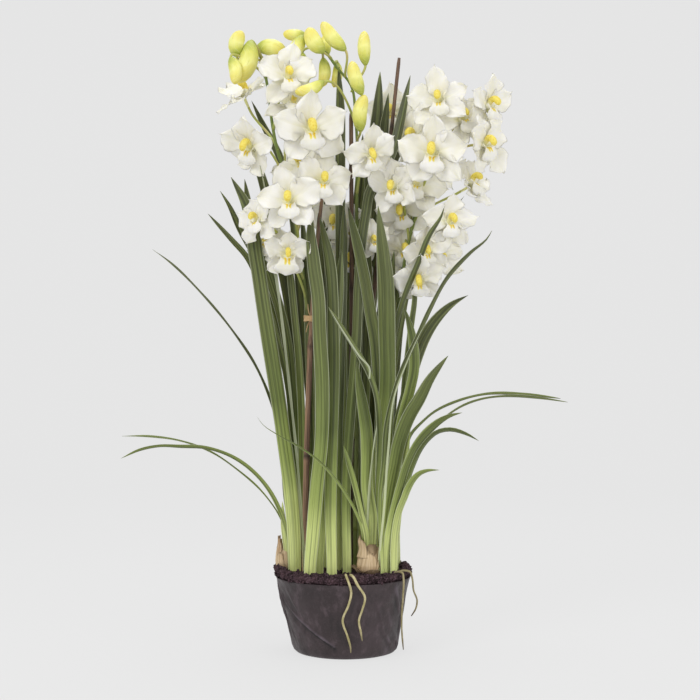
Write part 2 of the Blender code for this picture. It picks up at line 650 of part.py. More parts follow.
def part_way(path, share):
    """The point at a share of a path's stations."""
    whole = min(int(share * (len(path) - 1)), len(path) - 2)
    return path[whole].lerp(path[whole + 1], share * (len(path) - 1) - whole)


def at_height(path, height):
    """The point of a rising path at a height."""
    for a, b in zip(path, path[1:]):
        if a.z <= height <= b.z:
            return a.lerp(b, (height - a.z) / (b.z - a.z))
    return path[-1]


def bulb_under(points):
    """The pseudobulb that carries a leaf, or None where the compost does."""
    if len(points[0]) == 2:
        return None
    return min(BULBS, key=lambda b: (Vector(points[0][:2]) - Vector(BULBS[b][:2])).length)


def build():
    clear_scene()
    leaf_look = material("leaf", PLANT_GREEN, 0.42)
    stem_look = material("stem", STEM_GREEN, 0.5)
    petal_look = material("petal", PETAL_WHITE, 0.55)
    cane_look = material("cane", CANE_BROWN, 0.6)
    bulb_look = material("bulb_sheath", SHEATH_TAN, 0.7)
    root_look = material("root", ROOT_TAN, 0.7)
    raffia_look = material("raffia", RAFFIA_TAN, 0.7)
    soil_look = material("compost", SOIL_BROWN, 0.95)
    pot_look = material("pot", POT_BROWN, 0.6)

    soil_sockets = [bulb_socket(name, soil_look) for name in BULBS]
    bulb_sockets = {name: [] for name in BULBS}
    for name, (width, angle, twist, points) in LEAVES.items():
        blade(name, width, angle, twist, points, leaf_look)
        socket = blade_socket(name, width, angle, points, soil_look)
        carrier = bulb_under(points)
        (bulb_sockets[carrier] if carrier else soil_sockets).append(socket)
    for name, (foot_radius, top_radius, points) in CANES.items():
        route = rod_route(points, 12)
        tube(name, route, taper(foot_radius, top_radius, len(route)), 8, cane_look)
        soil_sockets.append(rod_socket(name, foot_radius, points, soil_look))
    for name, (foot_radius, _, points) in SPIKES.items():
        spike(name, stem_look)
        soil_sockets.append(rod_socket(name, foot_radius, points, soil_look))
    for name, (_, _, heart, azimuth, elevation, roll, reach) in FLOWERS.items():
        flower(name, heart, azimuth, elevation, roll, reach, petal_look)
    for name, (radius, points) in FREE_ROOTS.items():
        path = smooth_path(points, 18)
        tube(name, path, taper(radius, 0.6 * radius, len(path)), 6, root_look)
    tie(raffia_look)
    for name in BULBS:
        bulb(name, bulb_look, bulb_sockets[name])
    pot(pot_look)
    soil(soil_look, soil_sockets)


build()
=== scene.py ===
"""The looks of the potted cymbidium orchid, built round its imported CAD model."""

import math
import random

import bmesh
import bpy
import numpy as np
from mathutils import Matrix, Vector, noise


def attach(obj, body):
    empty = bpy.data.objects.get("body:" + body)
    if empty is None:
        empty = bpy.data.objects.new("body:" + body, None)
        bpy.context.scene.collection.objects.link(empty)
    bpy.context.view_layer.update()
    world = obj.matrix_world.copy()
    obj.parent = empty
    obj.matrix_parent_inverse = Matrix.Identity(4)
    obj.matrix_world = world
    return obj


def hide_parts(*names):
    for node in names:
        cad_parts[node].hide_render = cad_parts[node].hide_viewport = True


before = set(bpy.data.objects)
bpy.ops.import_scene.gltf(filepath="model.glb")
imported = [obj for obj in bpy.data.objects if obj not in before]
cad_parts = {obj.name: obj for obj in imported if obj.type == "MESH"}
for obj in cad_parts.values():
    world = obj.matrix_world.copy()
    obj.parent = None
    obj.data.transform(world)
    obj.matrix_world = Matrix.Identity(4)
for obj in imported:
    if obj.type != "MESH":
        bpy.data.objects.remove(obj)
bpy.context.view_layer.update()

SCENE = bpy.context.scene
CAMERA_AT = (0.0072, -2.4, 0.480)
CAMERA_LENS = 77.14
# The plant's own measures are in millimetres.
MM = 0.001
SOIL_TOP = 130
LEAF_SINK = 12
STEM_SINK = 14

# ---------------------------------------------------------------------------------------------------------
# Camera, floor and light
# ---------------------------------------------------------------------------------------------------------


def link(obj):
    SCENE.collection.objects.link(obj)
    return obj


def camera():
    data = bpy.data.cameras.new("camera")
    data.sensor_width = 36
    data.lens = CAMERA_LENS
    made = link(bpy.data.objects.new("camera", data))
    made.location = CAMERA_AT
    made.rotation_euler = (math.pi / 2, 0, 0)
    SCENE.camera = made


def area_light(name, place, aim, size, power):
    data = bpy.data.lights.new(name, "AREA")
    data.shape = "RECTANGLE"
    data.size, data.size_y = size
    data.energy = power
    made = link(bpy.data.objects.new(name, data))
    made.location = place
    made.rotation_euler = (Vector(aim) - Vector(place)).to_track_quat("-Z", "Y").to_euler()


def studio():
    SCENE.view_settings.view_transform = "Standard"
    world = bpy.data.worlds.new("studio")
    world.use_nodes = True
    world.node_tree.nodes["Background"].inputs["Color"].default_value = (1, 1, 1, 1)
    world.node_tree.nodes["Background"].inputs["Strength"].default_value = 0.62
    SCENE.world = world
    area_light("key", (-1.6, -2.4, 2.6), (0, 0, 0.5), (1.6, 1.6), 44)
    area_light("fill", (2.2, -2.0, 1.4), (0, 0, 0.6), (1.8, 1.8), 20)
    area_light("top", (0.2, 0.4, 3.0), (0, 0, 0.4), (1.4, 1.4), 18)
    # A pale sweep: the floor runs back and curves up into the wall behind.
    rows = [(y, 0.0) for y in (-6.0, -2.0, 0.0, 1.5, 2.6)]
    rows += [(2.6 + 1.4 * math.sin(a), 1.4 - 1.4 * math.cos(a)) for a in np.linspace(0.15, math.pi / 2, 12)]
    rows += [(4.0, 3.0), (4.0, 6.0)]
    points = [(x, y, z) for y, z in rows for x in (-7, 7)]
    faces = [(2 * i, 2 * i + 1, 2 * i + 3, 2 * i + 2) for i in range(len(rows) - 1)]
    mesh = bpy.data.meshes.new("sweep")
    mesh.from_pydata(points, [], faces)
    mesh.shade_smooth()
    look = bpy.data.materials.new("sweep")
    look.use_nodes = True
    shader = look.node_tree.nodes["Principled BSDF"]
    shader.inputs["Roughness"].default_value = 1
    shader.inputs["Specular IOR Level"].default_value = 0
    shader.inputs["Base Color"].default_value = (0.12, 0.12, 0.12, 1)
    shader.inputs["Emission Color"].default_value = (1, 1, 1, 1)
    shader.inputs["Emission Strength"].default_value = 0.688
    mesh.materials.append(look)
    link(bpy.data.objects.new("sweep", mesh))


# ---------------------------------------------------------------------------------------------------------
# Materials
# ---------------------------------------------------------------------------------------------------------


class Look:
    """A Principled material and a short way to write its nodes."""

    def __init__(self, name, roughness, specular, subsurface=0.0, reach=0.01):
        self.made = bpy.data.materials.new(name)
        self.made.use_nodes = True
        self.tree = self.made.node_tree
        self.shader = self.tree.nodes["Principled BSDF"]
        self.put("Roughness", roughness)
        self.put("Specular IOR Level", specular)
        self.put("Subsurface Weight", subsurface)
        if subsurface:
            self.shader.inputs["Subsurface Radius"].default_value = (1.0, 0.9, 0.5)
            self.put("Subsurface Scale", reach)

    def put(self, socket, value):
        self.plug(self.shader.inputs[socket], value)

    def plug(self, socket, value):
        if isinstance(value, bpy.types.NodeSocket):
            self.tree.links.new(value, socket)
        elif isinstance(value, (tuple, list)) and len(value) == 3 and socket.type == "RGBA":
            socket.default_value = (*value, 1)
        else:
            socket.default_value = value

    def node(self, kind, inputs=(), **settings):
        made = self.tree.nodes.new("ShaderNode" + kind)
        for key, value in settings.items():
            setattr(made, key, value)
        for key, value in dict(inputs).items():
            self.plug(made.inputs[key], value)
        return made

    def attribute(self, name):
        return self.node("Attribute", attribute_name=name).outputs["Fac"]

    def math(self, operation, a, b=0.0, c=0.0, clamp=False):
        return self.node("Math", {0: a, 1: b, 2: c}, operation=operation, use_clamp=clamp).outputs[0]

    def ramp(self, value, low, high, first=0.0, last=1.0):
        """value from low..high mapped to first..last, smoothly, clamped at both ends."""
        inputs = {0: value, 1: low, 2: high, 3: first, 4: last}
        return self.node("MapRange", inputs, interpolation_type="SMOOTHSTEP").outputs[0]

    def stops(self, value, *stops):
        made = self.node("ValToRGB", {0: value})
        while len(made.color_ramp.elements) < len(stops):
            made.color_ramp.elements.new(0.5)
        for element, (at, colour) in zip(made.color_ramp.elements, stops):
            element.position = at
            element.color = (*colour, 1)
        return made.outputs[0]

    def mix(self, factor, a, b):
        made = self.node("Mix", data_type="RGBA")
        self.plug(made.inputs[0], factor)
        self.plug(made.inputs[6], a)
        self.plug(made.inputs[7], b)
        return made.outputs[2]

    def space(self, scale=(1, 1, 1), uv=None):
        if uv:
            source = self.node("UVMap", uv_map=uv).outputs[0]
        else:
            source = self.node("TexCoord").outputs["Object"]
        return self.node("Mapping", {"Vector": source, "Scale": scale}).outputs[0]

    def noise(self, space, scale, detail=3.0, rough=0.5, distortion=0.0):
        inputs = {"Vector": space, "Scale": scale, "Detail": detail, "Roughness": rough}
        return self.node("TexNoise", {**inputs, "Distortion": distortion}).outputs[0]

    def bump(self, height, strength, distance):
        made = self.node("Bump", {"Height": height, "Strength": strength, "Distance": distance})
        self.put("Normal", made.outputs[0])


def leaf_look():
    """Green blades, pale near the compost and dark above, pleated, with painted shade and painted highlight
    in bands along the pleats, and a pale margin that is a painted highlight.
    """
    look = Look("leaf", roughness=0.42, specular=0.42, subsurface=0.06, reach=0.003)
    height, tone, side = look.attribute("height"), look.attribute("tone"), look.attribute("side")
    blotch = look.noise(look.space((0.06, 1, 1), uv="run"), 9, 2)
    # tone: each blade's own green from pale to dark. The darker greens on the blades inside the clump are
    # partly painted shade.
    shift = look.math("MULTIPLY_ADD", look.math("SUBTRACT", tone, 0.55), 0.40, height)
    shift = look.math("MULTIPLY_ADD", look.math("SUBTRACT", blotch, 0.5), 0.10, shift)
    level = look.math("DIVIDE", look.math("SUBTRACT", shift, 0.13), 0.82, clamp=True)
    base = look.stops(
        level,
        (0.0, (0.66, 0.73, 0.27)),
        (0.085, (0.56, 0.64, 0.215)),
        (0.16, (0.285, 0.352, 0.085)),
        (0.27, (0.126, 0.163, 0.034)),
        (0.48, (0.106, 0.126, 0.036)),
        (0.85, (0.068, 0.080, 0.031)),
    )
    band = look.noise(look.space((1.0, 0.006, 1), uv="run"), 260, 2, 0.5)
    streak = look.noise(look.space((1.0, 0.010, 1), uv="run"), 760, 3, 0.6)
    dark = look.mix(0.62, base, (0.010, 0.016, 0.004))
    light = look.mix(0.26, base, (0.46, 0.56, 0.18))
    pale = look.mix(0.24, base, (0.58, 0.66, 0.30))
    # Bands along the pleats: painted shade in the dark ones and painted highlight in the light ones. The
    # fine streaks are the blade's own veins.
    colour = look.mix(look.ramp(band, 0.36, 0.52, 0.90, 0), base, dark)
    colour = look.mix(look.ramp(band, 0.52, 0.68, 0, 0.80), colour, light)
    colour = look.mix(look.ramp(streak, 0.34, 0.50, 0.45, 0), colour, dark)
    colour = look.mix(look.ramp(streak, 0.52, 0.72, 0, 0.42), colour, pale)
    # A pale margin along each edge of a blade: painted highlight.
    rim = look.ramp(look.math("ABSOLUTE", side), 0.86, 0.97, 0, 0.85)
    colour = look.mix(rim, colour, look.mix(0.72, base, (0.60, 0.64, 0.46)))
    look.put("Base Color", colour)
    look.put("Roughness", look.ramp(streak, 0.3, 0.7, 0.34, 0.54))
    look.bump(look.math("MULTIPLY_ADD", band, 2.0, streak), 0.5, 0.0005)
    return look.made


def petal_look():
    """Waxy white with faint veins, cream towards the middle, cream patches that are partly the flower's own
    cream and partly painted shade, and yellow on the crest and the anther.
    """
    look = Look("petal", roughness=0.50, specular=0.30, subsurface=0.22, reach=0.004)
    warm, yellow = look.attribute("warm"), look.attribute("yellow")
    veins = look.noise(look.space((1.0, 0.12, 1), uv="run"), 420, 2)
    cloud = look.noise(look.space(), 45, 2)
    # Cream patches on the white: partly the flower's own cream, partly painted shade.
    base = look.mix(look.ramp(cloud, 0.35, 0.75), (0.92, 0.90, 0.83), (0.86, 0.835, 0.71))
    base = look.mix(look.ramp(veins, 0.5, 0.75, 0, 0.18), base, (0.74, 0.72, 0.50))
    base = look.mix(look.ramp(warm, 0.0, 1.0, 0, 0.9), base, (0.78, 0.77, 0.33))
    speck = look.noise(look.space(), 330, 2)
    gold = look.mix(look.ramp(speck, 0.4, 0.7), (0.86, 0.73, 0.15), (0.78, 0.60, 0.07))
    gold = look.mix(look.ramp(yellow, 0.72, 0.95), gold, (0.80, 0.42, 0.02))
    look.put("Base Color", look.mix(look.ramp(yellow, 0.12, 0.50), base, gold))
    look.bump(veins, 0.2, 0.0006)
    return look.made


def bud_look():
    look = Look("bud", roughness=0.42, specular=0.4, subsurface=0.22, reach=0.006)
    along, seam = look.attribute("along"), look.attribute("seam")
    veins = look.noise(look.space((1.0, 0.06, 1), uv="run"), 520, 2)
    cloud = look.noise(look.space(), 60, 2)
    wander = look.math("ADD", along, look.math("MULTIPLY", look.math("SUBTRACT", cloud, 0.5), 0.35))
    base = look.stops(
        look.ramp(wander, 0.0, 1.0),
        (0.0, (0.40, 0.46, 0.07)),
        (0.22, (0.70, 0.70, 0.15)),
        (0.55, (0.90, 0.88, 0.30)),
        (0.85, (0.84, 0.77, 0.19)),
        (1.0, (0.80, 0.70, 0.15)),
    )
    base = look.mix(look.ramp(veins, 0.5, 0.72, 0, 0.35), base, (0.93, 0.93, 0.58))
    look.put("Base Color", look.mix(look.ramp(seam, 0.80, 1.0, 0, 0.45), base, (0.50, 0.47, 0.07)))
    look.bump(veins, 0.2, 0.0004)
    return look.made


def stem_look():
    look = Look("stem", roughness=0.45, specular=0.4, subsurface=0.05, reach=0.002)
    pale, height = look.attribute("pale"), look.attribute("height")
    streak = look.noise(look.space((1, 1, 0.03)), 420, 3)
    cloud = look.noise(look.space((1, 1, 0.25)), 60, 3)
    base = look.stops(
        look.ramp(height, 0.1, 1.0),
        (0.0, (0.26, 0.31, 0.09)),
        (0.30, (0.095, 0.120, 0.036)),
        (0.50, (0.085, 0.105, 0.032)),
        (0.60, (0.16, 0.21, 0.048)),
        (1.0, (0.13, 0.19, 0.035)),
    )
    base = look.mix(look.ramp(streak, 0.35, 0.65, 0, 0.35), base, look.mix(0.35, base, (0.36, 0.40, 0.12)))
    base = look.mix(look.ramp(cloud, 0.5, 0.75, 0, 0.4), base, (0.07, 0.075, 0.025))
    light = look.mix(look.ramp(cloud, 0.4, 0.7), (0.46, 0.50, 0.12), (0.58, 0.49, 0.19))
    look.put("Base Color", look.mix(pale, base, light))
    look.bump(streak, 0.25, 0.0005)
    return look.made


def cane_look():
    look = Look("cane", roughness=0.5, specular=0.4)
    streak = look.noise(look.space((1, 1, 0.02)), 700, 4, 0.6)
    cloud = look.noise(look.space((1, 1, 0.2)), 40, 3)
    # dull is the canes' brown and warm is a lit copy of it. The light layer paints warm on the lit side of
    # a cane and leaves dull on the side away: painted light and shade.
    dull = look.mix(look.ramp(streak, 0.35, 0.65), (0.075, 0.045, 0.032), (0.21, 0.125, 0.08))
    warm = look.mix(look.ramp(streak, 0.35, 0.65), (0.17, 0.095, 0.058), (0.40, 0.24, 0.135))
    base = look.mix(look.attribute("light"), dull, warm)
    base = look.mix(look.ramp(cloud, 0.45, 0.75, 0, 0.5), base, (0.05, 0.032, 0.025))
    look.put("Base Color", look.mix(look.attribute("node"), base, (0.035, 0.022, 0.016)))
    look.put("Roughness", look.ramp(streak, 0.3, 0.7, 0.4, 0.65))
    look.bump(streak, 0.4, 0.0005)
    return look.made


def sheath_look():
    """Dry papery bulb scales: tan, with lengthwise fibres and darker torn edges."""
    look = Look("sheath", roughness=0.72, specular=0.22, subsurface=0.06, reach=0.003)
    fibre = look.noise(look.space((1.0, 0.03, 1), uv="run"), 700, 4, 0.65)
    cloud = look.noise(look.space((1, 1, 0.5)), 60, 4)
    base = look.mix(look.ramp(fibre, 0.30, 0.62), (0.42, 0.28, 0.145), (0.74, 0.57, 0.36))
    base = look.mix(look.ramp(cloud, 0.52, 0.72, 0, 0.55), base, (0.33, 0.18, 0.085))
    look.put("Base Color", look.mix(look.attribute("low"), base, (0.085, 0.042, 0.026)))
    look.bump(look.math("ADD", fibre, cloud), 0.7, 0.0010)
    return look.made


def root_look():
    look = Look("root", roughness=0.62, specular=0.3, subsurface=0.05, reach=0.002)
    cloud = look.noise(look.space(), 120, 4)
    fine = look.noise(look.space((1, 1, 0.4)), 700, 3)
    base = look.mix(look.ramp(cloud, 0.35, 0.7), (0.60, 0.53, 0.30), (0.42, 0.37, 0.17))
    base = look.mix(look.ramp(fine, 0.5, 0.75, 0, 0.5), base, (0.22, 0.18, 0.08))
    look.put("Base Color", look.mix(look.attribute("dark"), base, (0.13, 0.10, 0.06)))
    look.bump(look.math("ADD", fine, cloud), 0.35, 0.0006)
    return look.made


def raffia_look():
    look = Look("raffia", roughness=0.6, specular=0.3)
    fibre = look.noise(look.space((1.0, 0.04, 1), uv="run"), 1200, 3)
    look.put("Base Color", look.mix(look.ramp(fibre, 0.35, 0.65), (0.40, 0.22, 0.09), (0.78, 0.58, 0.32)))
    look.bump(fibre, 0.4, 0.0004)
    return look.made


def compost_look():
    look = Look("compost", roughness=0.92, specular=0.25)
    cloud = look.noise(look.space(), 75, 4)
    fine = look.noise(look.space(), 420, 5, 0.7)
    base = look.mix(look.ramp(cloud, 0.35, 0.7), (0.020, 0.011, 0.012), (0.075, 0.042, 0.048))
    base = look.mix(look.ramp(fine, 0.46, 0.72, 0, 0.8), base, (0.22, 0.135, 0.170))
    look.put("Base Color", base)
    look.bump(look.math("ADD", cloud, fine), 0.9, 0.002)
    return look.made


def pot_look():
    """Soft dark film: warm charcoal with a purple cast, satin, finely creased, with painted highlights on
    its raised folds and down its right side, and painted shade in its dips and grooves.
    """
    look = Look("pot_film", roughness=0.5, specular=0.42)
    cloud = look.noise(look.space(), 11, 4)
    mottle = look.noise(look.space((1, 1, 0.7)), 60, 4, 0.65)
    crinkle = look.noise(look.space(), 42, 4, 0.55, 0.4)
    fine = look.noise(look.space(), 520, 3)
    base = look.mix(look.ramp(cloud, 0.35, 0.7), (0.030, 0.0195, 0.021), (0.055, 0.038, 0.042))
    base = look.mix(look.ramp(mottle, 0.50, 0.70, 0, 0.60), base, (0.100, 0.070, 0.080))
    base = look.mix(look.ramp(mottle, 0.30, 0.46, 0.55, 0), base, (0.016, 0.011, 0.012))
    base = look.mix(look.ramp(fine, 0.5, 0.75, 0, 0.30), base, (0.085, 0.066, 0.072))
    # A paler purple painted on the raised folds and down the right side: painted highlight.
    base = look.mix(look.attribute("bloom"), base, (0.19, 0.150, 0.185))
    # Near black painted in the dips and along the fold grooves: painted shade.
    look.put("Base Color", look.mix(look.attribute("fold"), base, (0.004, 0.003, 0.003)))
    look.put("Roughness", look.ramp(crinkle, 0.3, 0.7, 0.40, 0.60))
    look.bump(look.math("MULTIPLY_ADD", fine, 0.16, crinkle), 0.5, 0.0045)
    return look.made


# ---------------------------------------------------------------------------------------------------------
# Geometry
# ---------------------------------------------------------------------------------------------------------


def smooth_path(points, count):
    """count + 1 points, evenly spaced along a smooth curve through the given ones, in millimetres."""
    given = np.array(points, dtype=float)
    steps = np.linalg.norm(np.diff(given, axis=0), axis=1)
    knots = np.concatenate([[0], np.cumsum(steps)])
    slopes = np.diff(given, axis=0) / steps[:, None]
    tangents = [slopes[0]]
    for i in range(1, len(given) - 1):
        tangents.append((slopes[i - 1] * steps[i] + slopes[i] * steps[i - 1]) / (steps[i - 1] + steps[i]))
    tangents = np.array([*tangents, slopes[-1]])
    at = np.linspace(0, knots[-1], count + 1)
    i = np.clip(np.searchsorted(knots, at, side="right") - 1, 0, len(given) - 2)
    span = (knots[i + 1] - knots[i])[:, None]
    t = (at - knots[i])[:, None] / span
    return (
        given[i] * (2 * t**3 - 3 * t**2 + 1)
        + tangents[i] * span * (t**3 - 2 * t**2 + t)
        + given[i + 1] * (3 * t**2 - 2 * t**3)
        + tangents[i + 1] * span * (t**3 - t**2)
    )


def unit(v):
    return v / np.maximum(np.linalg.norm(v, axis=-1, keepdims=True), 1e-9)


def joined(*parts):
    """Arrays spread to one shape and joined into points, or into pairs for the material's UV map."""
    return np.stack(np.broadcast_arrays(*parts), axis=-1)


def patch(rows, cols):
    """A grid's u, from 0 to 1 down its rows, and its v, from -1 to 1 over its columns."""
    return np.linspace(0, 1, rows)[:, None], np.linspace(-1, 1, cols)[None, :]


def normals(grid):
    return unit(np.cross(np.gradient(grid, axis=0), np.gradient(grid, axis=1)))


def rooted(route, sink):
    """A route's points, begun sink below the place where it leaves the compost or the bulb."""
    foot = np.array([*route[0], SOIL_TOP][:3], dtype=float)
    return [foot - (0, 0, sink), foot + (0, 0, 4), *[np.array(p, dtype=float) for p in route[1:]]]


def frames(path, across):
    """Two directions across a path at each of its points, which turn as little as they can."""
    along = unit(np.gradient(path, axis=0))
    found = []
    across = np.array(across, dtype=float)
    for a in along:
        across = unit(across - a * across.dot(a))
        found.append(across)
    across = np.array(found)
    return across, np.cross(across, along)


def mesh_object(name, points, faces, look, uv, **layers):
    """uv has one pair and each layer has one number for each point."""
    mesh = bpy.data.meshes.new(name)
    points = np.asarray(points, dtype=float).reshape(-1, 3)
    mesh.from_pydata((points * MM).tolist(), [], faces)
    for key, values in layers.items():
        layer = mesh.attributes.new(key, "FLOAT", "POINT")
        layer.data.foreach_set("value", np.asarray(values, dtype=np.float32).ravel())
    corner = np.empty(len(mesh.loops), dtype=np.int32)
    mesh.loops.foreach_get("vertex_index", corner)
    flat = np.asarray(uv, dtype=np.float32).reshape(-1, 2)[corner]
    mesh.uv_layers.new(name="run").data.foreach_set("uv", flat.ravel())
    shell = bmesh.new()
    shell.from_mesh(mesh)
    bmesh.ops.recalc_face_normals(shell, faces=shell.faces)
    shell.to_mesh(mesh)
    shell.free()
    mesh.materials.append(look)
    mesh.shade_smooth()
    return link(bpy.data.objects.new(name, mesh))


class Build:
    """Collects closed bodies into one mesh, with the same layers for all."""

    def __init__(self, *layers):
        self.points = []
        self.faces = []
        self.uv = []
        self.layers = {key: [] for key in layers}
        self.count = 0

    def add(self, points, faces, uv=None, **layers):
        """faces count the points from 0; a layer has one number for each point."""
        self.points.append(points)
        self.faces.extend([tuple(self.count + v for v in face) for face in faces])
        self.uv.append(np.zeros((len(points), 2)) if uv is None else uv)
        for key, store in self.layers.items():
            store.append(np.broadcast_to(np.asarray(layers.get(key, 0.0), dtype=float), len(points)))
        self.count += len(points)

    def rings(self, points, uv=None, **layers):
        """Each row of points is a closed ring; the first and the last ring are capped."""
        rows, cols = points.shape[:2]
        faces = []
        for i in range(rows - 1):
            for k in range(cols):
                a = i * cols + k
                b = i * cols + (k + 1) % cols
                faces.append((a, b, b + cols, a + cols))
        faces.append(tuple(range(cols - 1, -1, -1)))
        faces.append(tuple(range((rows - 1) * cols, rows * cols)))
        if uv is not None:
            uv = uv.reshape(-1, 2)
        flat = {key: np.broadcast_to(value, (rows, cols)).ravel() for key, value in layers.items()}
        self.add(points.reshape(-1, 3), faces, uv, **flat)

    def object(self, name, look):
        layers = {key: np.concatenate(store) for key, store in self.layers.items()}
        points, uv = np.concatenate(self.points), np.concatenate(self.uv)
        return mesh_object(name, points, self.faces, look, uv, **layers)


def closed_sheet(build, middle, normal, thick, uv=None, **layers):
    """A thin closed body round a grid of points, with its edges closed at the middle."""
    rows, cols = middle.shape[:2]
    columns = list(range(cols)) + list(range(cols - 2, 0, -1))
    sign = np.array([1.0] * cols + [-1.0] * (cols - 2))
    sign[[0, cols - 1]] = 0.0
    thick = np.broadcast_to(thick, (rows, cols))[:, columns]
    ring = middle[:, columns] + normal[:, columns] * sign[None, :, None] * thick[..., None] / 2
    chosen = {key: np.broadcast_to(value, (rows, cols))[:, columns] for key, value in layers.items()}
    build.rings(ring, None if uv is None else uv[:, columns], **chosen)


def tube(build, path, radius, sides, start, shape=None, **layers):
    """A round rod: a radius for each point of its path, which shape(turn, share of the length) scales."""
    across, out = frames(path, start)
    turn = np.linspace(0, 2 * math.pi, sides, endpoint=False)
    share = np.linspace(0, 1, len(path))
    scale = np.ones((len(path), sides)) if shape is None else shape(turn[None, :], share[:, None])
    r = np.asarray(radius, dtype=float)[:, None] * scale
    ray = across[:, None] * np.cos(turn)[None, :, None] - out[:, None] * np.sin(turn)[None, :, None]
    steps = np.linalg.norm(np.diff(path, axis=0), axis=1)
    length = np.concatenate([[0], np.cumsum(steps)]) * MM
    uv = joined(turn[None, :] * r * MM, length[:, None])
    build.rings(path[:, None] + ray * r[..., None], uv, **layers)


def place(obj, *nodes, slot=None):
    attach(obj, "root")
    if nodes:
        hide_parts(*nodes)
    return obj
